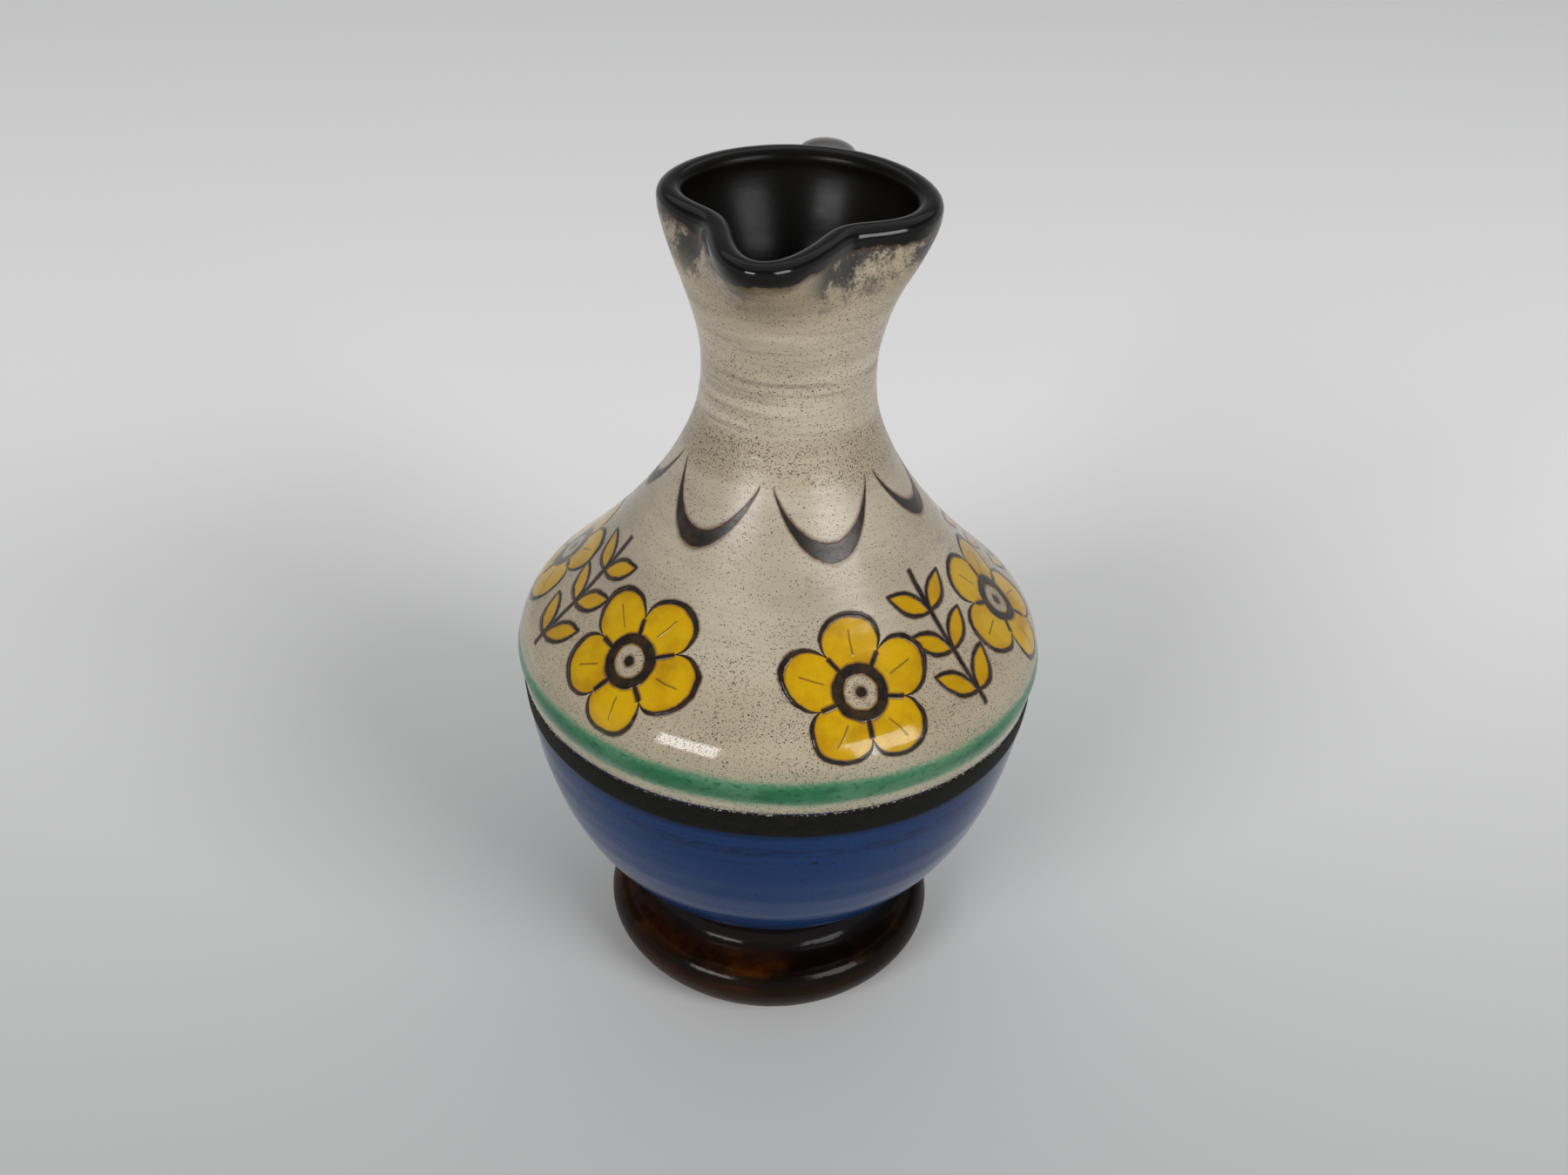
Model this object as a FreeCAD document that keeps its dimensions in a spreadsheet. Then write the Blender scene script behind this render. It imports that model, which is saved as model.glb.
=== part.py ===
import FreeCAD, Part
import math
import os
import Sketcher

# Footed pottery jug with a pinched pouring lip and a strap handle.
# Millimetres, +Z up. The foot ring rests on Z = 0, the jug's axis is the Z axis,
# the spout points along -Y and the handle stands along +Y.
# It is thrown in rings that are luted together: foot, bowl, shoulder, neck and mouth.
# The handle is a pulled strap, and two slip lines run round the belly.

# Driving sizes: alias, value and what it is. A rise is counted up from the base of its
# own ring, and a corner is the point that a curved side heads for before it turns away.
sizes = [
    ("wall", 4.0, "thickness of the thrown wall"),
    ("foot_height", 21.6, "rest plane to the waist where the bowl is luted on"),
    ("rest_radius", 34.6, "outer edge of the ring that meets the table"),
    ("rest_width", 5.0, "flat width of that ring"),
    ("flange_swell", 2.8, "how far the foot's roll stands out past that ring"),
    ("flange_low", 3.4, "rise of the lower corner of the foot's roll"),
    ("flange_high", 13.4, "rise of the upper corner of the foot's roll"),
    ("waist_radius", 28.6, "radius where the foot meets the bowl"),
    ("waist_low", 15.6, "rise of the corner under the waist"),
    ("hollow_width", 7.0, "width of the foot's top face"),
    ("hollow_inset", 0.6, "waist to the corner of the bell under the foot"),
    ("hollow_rise", 14.0, "rise of that corner"),
    ("bowl_height", 54.3, "waist to the seam under the shoulder"),
    ("swell_inset", 2.85, "belly seam to the corner of the bowl's side"),
    ("swell_rise", 17.8, "rise of that corner"),
    ("belly_radius", 55.05, "radius of the seam between bowl and shoulder"),
    ("floor_depth", 5.0, "thickness of the bowl's floor"),
    ("floor_radius", 18.0, "radius of the flat part of that floor"),
    ("shoulder_height", 58.2, "belly seam to the collar under the neck"),
    ("keel_swell", 1.25, "how far the rounded keel's corner stands out past the belly"),
    ("keel_rise", 10.9, "rise of that corner"),
    ("flank_rise", 39.0, "rise of the corner of the hollow flank above the keel"),
    ("collar_swell", 1.4, "how far the seam under the neck stands out past the neck"),
    ("collar_rise", 4.4, "rise of the corner where the neck leaves the flank's slope"),
    ("neck_height", 25.0, "collar to the seam under the mouth"),
    ("neck_radius", 17.4, "radius of the neck where it is narrowest"),
    ("neck_waist_rise", 11.0, "rise of that narrowest place"),
    ("flare_rise", 17.0, "rise of the corner where the neck starts to open"),
    ("throat_swell", 2.7, "how far the seam under the mouth stands out past the neck"),
    ("mouth_height", 21.0, "throat seam to the top of the lip at the back"),
    ("mouth_knee", 3.0, "how far the mouth carries on the neck's slope"),
    ("mouth_swell_rise", 9.0, "rise of the ring where the mouth turns out to the lip"),
    ("lip_side_flare", 6.3, "throat to the lip's crest at the sides"),
    ("lip_back_flare", 6.5, "throat to the lip's crest over the handle"),
    ("lip_thickness", 4.0, "width of the rounded lip"),
    ("lip_depth", 4.5, "height of the upright band under the lip"),
    ("lip_fall", 3.4, "how far the lip drops from the back to the spout"),
    ("spout_swell", 6.2, "how far the spout is drawn out"),
    ("spout_angle", 19.0, "half angle that the spout takes up, degrees"),
    ("pinch_depth", 8.9, "how far two fingers press the lip in beside the spout"),
    ("pinch_angle", 48.0, "direction of each pinch from the spout, degrees"),
    ("pinch_spread", 32.0, "half angle that a pinch takes up, degrees"),
    ("handle_inset", 3.45, "how far the strap's middle stays inside the belly's radius"),
    ("handle_crest_rise", 15.5, "height of the middle of the strap over the throat seam"),
    ("handle_width", 11.8, "width of the strap halfway up"),
    ("handle_thickness", 6.4, "thickness of the strap halfway up"),
    ("handle_root_rise", 6.0, "height of the upper root above the throat seam"),
    ("band_width", 6.4, "height of the dark slip band under the belly seam"),
    ("band_thickness", 0.35, "how far the slip band stands out"),
    ("line_low", 2.4, "rise of the glaze line's lower edge above the belly seam"),
    ("line_high", 7.9, "rise of its upper edge"),
    ("line_swell", 0.5, "how far the glaze line stands out"),
    ("overrun", 6.0, "how far a cutting outline runs past what it cuts"),
]

# Shares: where a straight leg between two corners hands over to the next curve.
flange_low_share = 0.45
flange_high_share = 0.45
floor_share = 0.8
keel_start_share = 0.45
flank_start_share = 0.174
handle_root_share = 0.45

# The strap's stations from the lower root to the upper one: reach as a share of the way
# from the lip's outside to the strap's widest place, height as a share of the way from the
# lower root to the crest, and the size of the oval as a share of the strap's own.
strap_shares = [
    (0.787, 0.110, 1.10),
    (0.966, 0.310, 1.00),
    (1.000, 0.560, 1.00),
    (0.933, 0.790, 1.00),
    (0.720, 0.940, 1.02),
    (0.327, 1.000, 1.06),
]
root_swell_share = 1.30

# The mouth's control rings from the throat up to the lip: how far each has gone from the
# round neck to the pinched lip. They are drawn through so many stations round the axis,
# and the lip's direction is felt for this share of a station to each side.
ring_shares = [0.00, 0.00, 0.32, 0.94, 1.00]
ring_stations = 36
feel_share = 0.05

doc = FreeCAD.newDocument("jug")
sheet = doc.addObject("Spreadsheet::Sheet", "Sizes")
for row, (alias, value, meaning) in enumerate(sizes, start=1):
    sheet.set(f"A{row}", alias)
    sheet.set(f"B{row}", str(value))
    sheet.set(f"C{row}", meaning)
    sheet.setAlias(f"B{row}", alias)
doc.recompute()


def cell(text):
    """Turns words such as "belly_radius - wall" into an expression on the sheet."""
    for alias in sorted((entry[0] for entry in sizes), key=len, reverse=True):
        text = " ".join(f"Sizes.{alias}" if word == alias else word for word in text.split(" "))
    return text


def size(text):
    """The value of such words, as a plain number."""
    value = sheet.evalExpression(cell(text))
    return float(getattr(value, "Value", value))


def between(start, end, share):
    """The corner a share of the way from one corner to another."""
    return tuple(f"( {a} ) + {share} * ( ( {b} ) - ( {a} ) )" for a, b in zip(start, end))


def own_plane(body, role):
    """One of the body's own origin planes or axes."""
    return next(item for item in body.Origin.OriginFeatures if item.Role == role)


def pin(sketch, geometry, point, corner, name):
    """Ties a sketch point to its distance from the axis and its rise, both from the sheet."""
    for kind, axis, words in (("X", -2, corner[0]), ("Y", -1, corner[1])):
        value = size(words)
        if value == 0:
            sketch.addConstraint(Sketcher.Constraint("PointOnObject", geometry, point, axis))
            continue
        rule = Sketcher.Constraint(f"Distance{kind}", -1, 1, geometry, point, value)
        index = sketch.addConstraint(rule)
        sketch.renameConstraint(index, f"{name}_{kind}")
        sketch.setExpression(f"Constraints.{name}_{kind}", cell(words))


def outline(body, name, sides):
    """A closed outline beside the axis. A side is a list of corners (distance from the
    axis, rise): two make a straight line, and three a curve that starts at the first,
    heads for the second and ends at the third."""
    sketch = body.newObject("Sketcher::SketchObject", name)
    sketch.AttachmentSupport = [(own_plane(body, "XZ_Plane"), "")]
    sketch.MapMode = "FlatFace"
    edges = []
    for number, side in enumerate(sides):
        points = [FreeCAD.Vector(size(across), size(up), 0) for across, up in side]
        if len(points) == 2:
            edges.append(sketch.addGeometry(Part.LineSegment(*points), False))
            continue
        curve = Part.BSplineCurve(points, None, None, False, 2, None, False)
        edges.append(sketch.addGeometry(curve, False))
        first = sketch.GeometryCount
        sketch.exposeInternalGeometry(edges[-1])
        added = range(first, sketch.GeometryCount)
        poles = [index for index in added if isinstance(sketch.Geometry[index], Part.Circle)]
        pin(sketch, poles[1], 3, side[1], f"corner{number}")
    for number, edge in enumerate(edges):
        pin(sketch, edge, 1, sides[number][0], f"start{number}")
        following = edges[(number + 1) % len(edges)]
        sketch.addConstraint(Sketcher.Constraint("Coincident", edge, 2, following, 1))
    return sketch


def turned(body, kind, sketch):
    """Turns an outline about the axis: PartDesign::Revolution adds, PartDesign::Groove cuts."""
    feature = body.newObject(kind, sketch.Name + "_turned")
    feature.Profile = sketch
    feature.ReferenceAxis = (sketch, ["V_Axis"])
    feature.Angle = 360
    sketch.Visibility = False
    body.Tip = feature
    return feature


def ring_body(label, base, sides):
    """One thrown ring: its wall section, turned about the axis and set at its height."""
    body = doc.addObject("PartDesign::Body", label)
    body.Label = label
    turned(body, "PartDesign::Revolution", outline(body, label + "_section", sides))
    if base:
        body.setExpression("Placement.Base.z", cell(base))
    return body


def chain(*corners):
    """Straight sides through the corners."""
    return [list(pair) for pair in zip(corners, corners[1:])]


# Radii that follow the ones they stand out from.
flange_radius = "( rest_radius + flange_swell )"
swell_radius = "( belly_radius - swell_inset )"
keel_radius = "( belly_radius + keel_swell )"
collar_radius = "( neck_radius + collar_swell )"
throat_radius = "( neck_radius + throat_swell )"
collar_slope = "collar_swell / collar_rise"
throat_slope = "throat_swell / ( neck_height - flare_rise )"
flank_radius = f"( {collar_radius} + ( shoulder_height - flank_rise ) * {collar_slope} )"

# Heights of the seams above the table.
bowl_base = "foot_height"
shoulder_base = "foot_height + bowl_height"
neck_base = "foot_height + bowl_height + shoulder_height"
mouth_base = "foot_height + bowl_height + shoulder_height + neck_height"


# Foot: a ring with a rolled flange, open underneath.
def make_foot():
    rest_out = ("rest_radius", "0")
    rest_in = ("rest_radius - rest_width", "0")
    low = (flange_radius, "flange_low")
    high = (flange_radius, "flange_high")
    waist = ("waist_radius", "waist_low")
    top_out = ("waist_radius", "foot_height")
    top_in = ("waist_radius - hollow_width", "foot_height")
    widest = between(low, high, flange_low_share)
    saddle = between(high, waist, flange_high_share)
    return ring_body("foot", "", [
        [rest_out, low, widest],
        [widest, high, saddle],
        [saddle, waist, top_out],
        [top_out, top_in],
        [top_in, ("waist_radius - hollow_inset", "hollow_rise"), rest_in],
        [rest_in, rest_out],
    ])


# Bowl: the lower belly with the jug's floor, set on the foot.
bowl_side = [
    ("waist_radius", "0"),
    (swell_radius, "swell_rise"),
    ("belly_radius", "bowl_height"),
]


def make_bowl():
    swell_in = (f"{swell_radius} - wall", "swell_rise + wall / 2")
    floor_corner = ("waist_radius", "floor_depth")
    turn = between(swell_in, floor_corner, floor_share)
    floor_edge = ("floor_radius", "floor_depth")
    seam_in = ("belly_radius - wall", "bowl_height")
    return ring_body("bowl", bowl_base, [
        [("0", "0"), bowl_side[0]],
        bowl_side,
        [bowl_side[2], seam_in],
        [seam_in, swell_in, turn],
        [turn, floor_corner, floor_edge],
        [floor_edge, ("0", "floor_depth")],
        [("0", "floor_depth"), ("0", "0")],
    ])


# Shoulder: the rounded keel and the hollow flank that runs up to the collar.
seam_out = ("belly_radius", "0")
keel_corner = (keel_radius, "keel_rise")
flank_corner = (flank_radius, "flank_rise")
collar_out = (collar_radius, "shoulder_height")
keel_start = between(seam_out, keel_corner, keel_start_share)
flank_start = between(keel_corner, flank_corner, flank_start_share)
shoulder_sides = [
    [seam_out, keel_start],
    [keel_start, keel_corner, flank_start],
    [flank_start, flank_corner, collar_out],
]


def make_shoulder():
    seam_in = ("belly_radius - wall", "0")
    keel_in = (f"{keel_radius} - wall", "keel_rise - wall / 2")
    flank_in = (f"{flank_radius} - wall", "flank_rise - wall / 2")
    collar_in = (f"{collar_radius} - wall", "shoulder_height")
    keel_in_start = between(seam_in, keel_in, keel_start_share)
    flank_in_start = between(keel_in, flank_in, flank_start_share)
    return ring_body("shoulder", shoulder_base, shoulder_sides + [
        [collar_out, collar_in],
        [collar_in, flank_in, flank_in_start],
        [flank_in_start, keel_in, keel_in_start],
        [keel_in_start, seam_in],
        [seam_in, seam_out],
    ])


# Neck: carries the flank's slope on into the narrowest place, then opens again.
def make_neck():
    def side(inset):
        return [
            (f"{collar_radius} - {inset}", "0"),
            (f"neck_radius - {inset}", "collar_rise"),
            (f"neck_radius - {inset}", "neck_waist_rise"),
            (f"neck_radius - {inset}", "flare_rise"),
            (f"{throat_radius} - {inset}", "neck_height"),
        ]
    outer = side("0")
    inner = side("wall")
    return ring_body("neck", neck_base, [
        outer[:3],
        outer[2:],
        [outer[4], inner[4]],
        inner[4:1:-1],
        inner[2::-1],
        [inner[0], outer[0]],
    ])


# Mouth: one smooth skin from the throat up, over the rounded lip and down the inside.
def lip_crest(angle):
    """The lip's crest seen from above, as its distance from the axis at an angle from
    the spout: an oval that is drawn out at the spout and pressed in on each side of it."""
    turn = math.degrees(math.atan2(math.sin(angle), math.cos(angle)))
    back = max(0.0, -math.cos(angle)) ** 2
    oval = size(f"{throat_radius} + lip_side_flare")
    oval += back * size("lip_back_flare - lip_side_flare")
    spout = size("spout_swell") * math.exp(-(turn / size("spout_angle")) ** 2)
    pinch = 0.0
    for side in (-1, 1):
        away = (turn - side * size("pinch_angle")) / size("pinch_spread")
        pinch += size("pinch_depth") * math.exp(-away ** 2)
    return oval + spout - pinch


def lip_point(angle, side):
    """A point half the lip's thickness outside (side 1) or inside (side -1) the crest."""
    step = feel_share * 2 * math.pi / ring_stations
    points = []
    for turn in (angle - step, angle, angle + step):
        reach = lip_crest(turn)
        points.append(FreeCAD.Vector(reach * math.sin(turn), -reach * math.cos(turn), 0))
    along = (points[2] - points[0]).normalize()
    outward = FreeCAD.Vector(along.y, -along.x, 0)
    return points[1] + outward * (side * size("lip_thickness") / 2)


# Rises of the control rings at the back of the mouth, in the order of their shares.
ring_rises = [
    "0",
    "mouth_knee",
    "mouth_swell_rise",
    "mouth_height - lip_depth",
    "mouth_height",
]


def control_ring(number, side):
    """The points of one control ring, from the spout round through the right side, on
    the outside (side 1) or the inside (side -1) of the wall. A ring's share takes it
    from the cone that carries on the neck's slope to the lip, and as far down with the
    lip as it falls from the back to the spout."""
    share = ring_shares[number]
    rise = size(ring_rises[number])
    bore = size(throat_radius) - (size("wall") if side < 0 else 0)
    cone = bore + rise * size(throat_slope)
    spout_y = -lip_crest(0.0)
    back_y = lip_crest(math.pi)
    ring = []
    for station in range(ring_stations):
        angle = 2 * math.pi * station / ring_stations
        lip = lip_point(angle, side)
        round_point = FreeCAD.Vector(cone * math.sin(angle), -cone * math.cos(angle), 0)
        point = round_point + (lip - round_point) * share
        fall = size("lip_fall") * (back_y - lip.y) / (back_y - spout_y)
        point.z = rise - share * fall
        ring.append(point)
    return ring


def closed_solid(faces):
    """Sews faces that meet along their edges into one solid that faces outwards."""
    shell = Part.makeShell(faces)
    shell.sewShape()
    solid = Part.makeSolid(Part.Shell(shell.Faces))
    if solid.Volume < 0:
        solid.reverse()
    return solid


def lid(*rims):
    """A flat face inside one rim, or between two."""
    return Part.makeFace([Part.Wire(rim) for rim in rims], "Part::FaceMakerBullseye")


def mouth_feature(label, shape):
    """A free-form piece that stands on the throat seam."""
    feature = doc.addObject("Part::Feature", label)
    feature.Label = label
    feature.Shape = shape
    feature.setExpression("Placement.Base.z", cell(mouth_base))
    return feature


def make_mouth():
    """The mouth, and the same form filled and carried up past the lip, which trims the
    handle."""
    rounds = []
    parameters = [station / ring_stations for station in range(ring_stations + 1)]
    upward = list(range(len(ring_shares)))
    for number, side in [(n, 1) for n in upward] + [(n, -1) for n in reversed(upward)]:
        points = control_ring(number, side)
        curve = Part.BSplineCurve()
        curve.interpolate(Points=points, PeriodicFlag=True, Parameters=parameters)
        rounds.append(curve)
    poles = [list(column) for column in zip(*(curve.getPoles() for curve in rounds))]
    spans = len(rounds) - 2
    skin = Part.BSplineSurface()
    skin.buildFromPolesMultsKnots(
        poles,
        rounds[0].getMultiplicities(),
        [3] + [1] * (spans - 1) + [3],
        rounds[0].getKnots(),
        [knot / spans for knot in range(spans + 1)],
        True,
        False,
        rounds[0].Degree,
        2,
    )
    first, crest, last = (skin.vIso(along).toShape() for along in (0, 1 / 2, 1))
    wall_solid = closed_solid([skin.toShape(), lid(first, last)])
    outer_face = skin.toShape(0, 1, 0, 1 / 2)
    up = FreeCAD.Vector(0, 0, size("overrun"))
    risen = crest.translated(up)
    filled_solid = closed_solid([outer_face, lid(first), crest.extrude(up), lid(risen)])
    return mouth_feature("mouth", wall_solid), mouth_feature("mouth_form", filled_solid)


# Handle: an oval strap lofted through its stations, then trimmed to the walls it meets.
low_root = between(keel_corner, flank_corner, handle_root_share)
leg_across = f"( {keel_radius} - {flank_radius} )"
leg_up = "( flank_rise - keel_rise )"
leg_length = f"sqrt( {leg_across} ^ 2 + {leg_up} ^ 2 )"
low_root_y = f"{low_root[0]} - wall / 2 * {leg_up} / {leg_length}"
low_root_z = f"{shoulder_base} + {low_root[1]} - wall / 2 * {leg_across} / {leg_length}"
high_root_y = f"{throat_radius} - wall"
high_root_z = f"{mouth_base} + handle_root_rise"
crest_z = f"( {mouth_base} + handle_crest_rise )"
lip_back = f"( {throat_radius} + lip_back_flare + lip_thickness / 2 )"


def strap_section(body, number, stations):
    """One oval cross-section, square to the line from the station before to the next."""
    y, z, swell = stations[number]
    before = stations[max(number - 1, 0)]
    after = stations[min(number + 1, len(stations) - 1)]
    lean = f"atan2( ( {before[0]} ) - ( {after[0]} ) ; ( {after[1]} ) - ( {before[1]} ) )"
    sketch = body.newObject("Sketcher::SketchObject", f"strap{number}")
    sketch.AttachmentSupport = [(own_plane(body, "XY_Plane"), "")]
    sketch.MapMode = "FlatFace"
    half_width = f"handle_width / 2 * {swell}"
    half_depth = f"handle_thickness / 2 * {swell}"
    centre = FreeCAD.Vector(0, 0, 0)
    right = FreeCAD.Vector(size(half_width), 0, 0)
    top = FreeCAD.Vector(0, size(half_depth), 0)
    oval = sketch.addGeometry(Part.Ellipse(right, top, centre), False)
    first = sketch.GeometryCount
    sketch.exposeInternalGeometry(oval)
    sketch.addConstraint(Sketcher.Constraint("Coincident", oval, 3, -1, 1))
    sketch.addConstraint(Sketcher.Constraint("PointOnObject", first, 1, -1))
    for axis, words in ((first, half_width), (first + 1, half_depth)):
        index = sketch.addConstraint(Sketcher.Constraint("Distance", axis, 2 * size(words)))
        sketch.renameConstraint(index, f"span{axis}")
        sketch.setExpression(f"Constraints.span{axis}", cell(f"2 * ( {words} )"))
    offset = FreeCAD.Placement()
    offset.Rotation = FreeCAD.Rotation(FreeCAD.Vector(1, 0, 0), size(lean))
    sketch.AttachmentOffset = offset
    sketch.setExpression("AttachmentOffset.Base.y", cell(y))
    sketch.setExpression("AttachmentOffset.Base.z", cell(z))
    sketch.setExpression("AttachmentOffset.Rotation.Angle", cell(lean))
    return sketch


def make_handle(shoulder, mouth_form):
    body = doc.addObject("PartDesign::Body", "strap")
    stations = [(low_root_y, low_root_z, root_swell_share)]
    for reach, rise, swell in strap_shares:
        y = f"{lip_back} + {reach} * ( belly_radius - handle_inset - {lip_back} )"
        z = f"( {low_root_z} ) + {rise} * ( {crest_z} - ( {low_root_z} ) )"
        stations.append((y, z, swell))
    stations.append((high_root_y, high_root_z, root_swell_share))
    sections = [strap_section(body, number, stations) for number in range(len(stations))]
    loft = body.newObject("PartDesign::AdditiveLoft", "strap_loft")
    loft.Profile = sections[0]
    loft.Sections = sections[1:]
    body.Tip = loft

    piece = body
    for label, tool in (("strap_on_shoulder", shoulder), ("handle", mouth_form)):
        cut = doc.addObject("Part::Cut", label)
        cut.Label = label
        cut.Base = piece
        cut.Tool = tool
        piece = cut
    return piece


# Slip lines: rings whose inner face is the wall that they lie on.
def make_band():
    body = ring_body("black_band", bowl_base, chain(
        ("belly_radius - wall / 2", "bowl_height - band_width"),
        ("belly_radius + overrun", "bowl_height - band_width"),
        ("belly_radius + overrun", "bowl_height"),
        ("belly_radius - wall / 2", "bowl_height"),
        ("belly_radius - wall / 2", "bowl_height - band_width"),
    ))
    face = [(f"{across} + band_thickness", up) for across, up in bowl_side]
    beyond = "belly_radius + 2 * overrun"
    turned(body, "PartDesign::Groove", outline(body, "band_face", [face] + chain(
        face[2],
        (f"{face[2][0]}", "bowl_height + overrun"),
        (beyond, "bowl_height + overrun"),
        (beyond, "0"),
        face[0],
    )))
    turned(body, "PartDesign::Groove", outline(body, "band_seat", [bowl_side] + chain(
        bowl_side[2],
        ("belly_radius", "bowl_height + overrun"),
        ("0", "bowl_height + overrun"),
        ("0", "0"),
        bowl_side[0],
    )))
    return body


def make_line():
    root = "belly_radius - wall / 2"
    middle = "( line_low + line_high ) / 2"
    body = ring_body("green_line", shoulder_base, [
        [(root, "line_low"), (keel_start[0], "line_low")],
        [
            (keel_start[0], "line_low"),
            (f"{keel_start[0]} + 2 * line_swell", middle),
            (keel_start[0], "line_high"),
        ],
        [(keel_start[0], "line_high"), (root, "line_high")],
        [(root, "line_high"), (root, "line_low")],
    ])
    turned(body, "PartDesign::Groove", outline(body, "line_seat", shoulder_sides + chain(
        collar_out,
        ("0", "shoulder_height"),
        ("0", "0"),
        seam_out,
    )))
    return body


foot = make_foot()
bowl = make_bowl()
shoulder = make_shoulder()
neck = make_neck()
mouth, mouth_form = make_mouth()
handle = make_handle(shoulder, mouth_form)
pieces = [foot, bowl, shoulder, neck, mouth, handle, make_band(), make_line()]
doc.recompute()

for item in doc.Objects:
    if "Invalid" in item.State or "Error" in item.State:
        raise RuntimeError(f"{item.Label} did not build: {item.State}")

os.makedirs("parts", exist_ok=True)
for piece in pieces:
    shape = piece.Shape
    if shape.isNull() or not shape.isValid() or not shape.Solids:
        raise RuntimeError(f"{piece.Label} has no valid solid")
    box = shape.optimalBoundingBox()
    print(f"{piece.Label}: {len(shape.Solids)} solid, {shape.Volume:.0f} mm3, "
          f"z {box.ZMin:.1f} to {box.ZMax:.1f}, reach {box.XMax:.1f} by {box.YMax:.1f}")
    shape.exportStep(f"parts/{piece.Label}.step")
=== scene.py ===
# %% [markdown]
# # A pinched pottery jug
# The jug is thrown in rings: foot, bowl, shoulder, neck and mouth. A strap handle is luted on
# behind, and a slip band and a raised glaze line run round the belly. The packed solids are
# the fixed frame. Every skin below is worked out in the same place and stands for one solid.

# %% Load the frame
import math

import bpy
import numpy as np
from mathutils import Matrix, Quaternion, Vector


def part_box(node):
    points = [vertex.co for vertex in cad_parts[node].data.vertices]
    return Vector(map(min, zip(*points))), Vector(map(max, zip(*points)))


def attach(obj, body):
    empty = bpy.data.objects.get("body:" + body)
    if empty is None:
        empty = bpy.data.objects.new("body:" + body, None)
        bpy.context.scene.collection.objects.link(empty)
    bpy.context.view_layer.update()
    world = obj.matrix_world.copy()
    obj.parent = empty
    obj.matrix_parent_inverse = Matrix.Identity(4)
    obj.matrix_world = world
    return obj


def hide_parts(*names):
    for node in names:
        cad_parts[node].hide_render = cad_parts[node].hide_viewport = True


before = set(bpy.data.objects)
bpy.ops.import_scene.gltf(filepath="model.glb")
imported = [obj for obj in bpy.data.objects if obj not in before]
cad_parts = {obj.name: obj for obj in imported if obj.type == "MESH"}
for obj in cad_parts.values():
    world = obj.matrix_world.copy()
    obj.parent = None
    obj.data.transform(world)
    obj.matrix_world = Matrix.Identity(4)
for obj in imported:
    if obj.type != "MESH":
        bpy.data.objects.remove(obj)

MM = 0.001
TURN = 2 * math.pi
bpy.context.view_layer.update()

# %% [markdown]
# ## Seams
# The rings of clay meet on level seams. Their heights could be typed in again, but here they
# are read from the solids, so that each skin is cut exactly where its solid is.


# %% Heights of the seams
def top_of(node):
    """The height of a solid's highest point, in millimetres."""
    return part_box(node)[1].z / MM


waist_z = top_of("foot")
belly_z = top_of("bowl")
collar_z = top_of("shoulder")
throat_z = top_of("neck")
crest_z = top_of("mouth")
print("seams at", [round(z, 2) for z in (waist_z, belly_z, collar_z, throat_z, crest_z)], "mm")

# %% [markdown]
# ## Curves of the wall
# A potter's profile swings from one direction to the next. A quadratic curve does the same:
# it leaves its start towards a corner and arrives at its end from that corner. The wall is a
# chain of such curves, so a handful of corners gives the whole outline. Lathe modifiers could
# turn it too, but a grid of numbers can also be pinched and dented by a formula.

# %% Curves
row_gap = 0.8


def swing(start, corner, end, gap=row_gap):
    """Points of the curve (1-t)^2 start + 2t(1-t) corner + t^2 end, about one gap apart."""
    start, corner, end = (np.array(point, float) for point in (start, corner, end))
    length = np.linalg.norm(corner - start) + np.linalg.norm(end - corner)
    share = np.linspace(0, 1, max(2, math.ceil(length / gap)) + 1)[:, None]
    return (1 - share) ** 2 * start + 2 * share * (1 - share) * corner + share ** 2 * end


def part_way(start, end, share):
    """The point a share of the way from one point to another."""
    return np.array(start, float) + share * (np.array(end, float) - np.array(start, float))


def chain(*curves):
    """Curves joined end to end, without the doubled points."""
    return np.concatenate([curves[0]] + [curve[1:] for curve in curves[1:]])


def straight(start, end, gap=row_gap):
    """Points along a straight leg."""
    return swing(start, part_way(start, end, 0.5), end, gap)


print("a straight leg of 8 mm has", len(straight((0, 0), (8, 0))), "points")

# %% [markdown]
# ## The outside of the wall
# The foot rolls out over the ring that meets the table, the waist is filled with a small
# fillet of glaze, the bowl swells to a rounded keel and the shoulder's hollow flank sweeps up
# into the narrow neck. Each corner below is a radius and a height. Where two legs share a
# curve's end, it lies a share of the way along a leg, so the outline never kinks.

# %% Corners of the outside
rest_radius, rest_width = 34.6, 5.0
bevel, bevel_rise = 2.7, 5.6
roll_radius = 37.4
waist_radius = 28.6
belly_radius = 55.05
neck_radius = 17.4
throat_radius = 20.1
collar_radius = 18.8

rest_out = (rest_radius - bevel, 0.0)
roll_low = (roll_radius, bevel_rise)
roll_high = (roll_radius, 13.4)
waist_low = (waist_radius, 15.6)
waist = (waist_radius, waist_z)
swell = (belly_radius - 2.85, waist_z + 17.8)
belly = (belly_radius, belly_z)
keel = (belly_radius + 1.25, belly_z + 10.9)
flank = (24.9, belly_z + 39.0)
collar = (collar_radius, collar_z)
neck_low = (neck_radius, collar_z + 4.4)
neck_mid = (neck_radius, collar_z + 11.0)
neck_high = (neck_radius, collar_z + 17.0)
throat = (throat_radius, throat_z)
print("the belly is", round(2 * belly_radius, 1), "mm across and the neck", 2 * neck_radius)

# %% The outside profile
roll_share, keel_share, flank_share = 0.45, 0.45, 0.174
roll_side = part_way(roll_low, roll_high, roll_share)
roll_top = part_way(roll_high, waist_low, roll_share)
fillet_low = part_way(waist_low, waist, 0.6)
fillet_high = part_way(waist, swell, 0.12)
keel_start = part_way(belly, keel, keel_share)
flank_start = part_way(keel, flank, flank_share)

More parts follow.
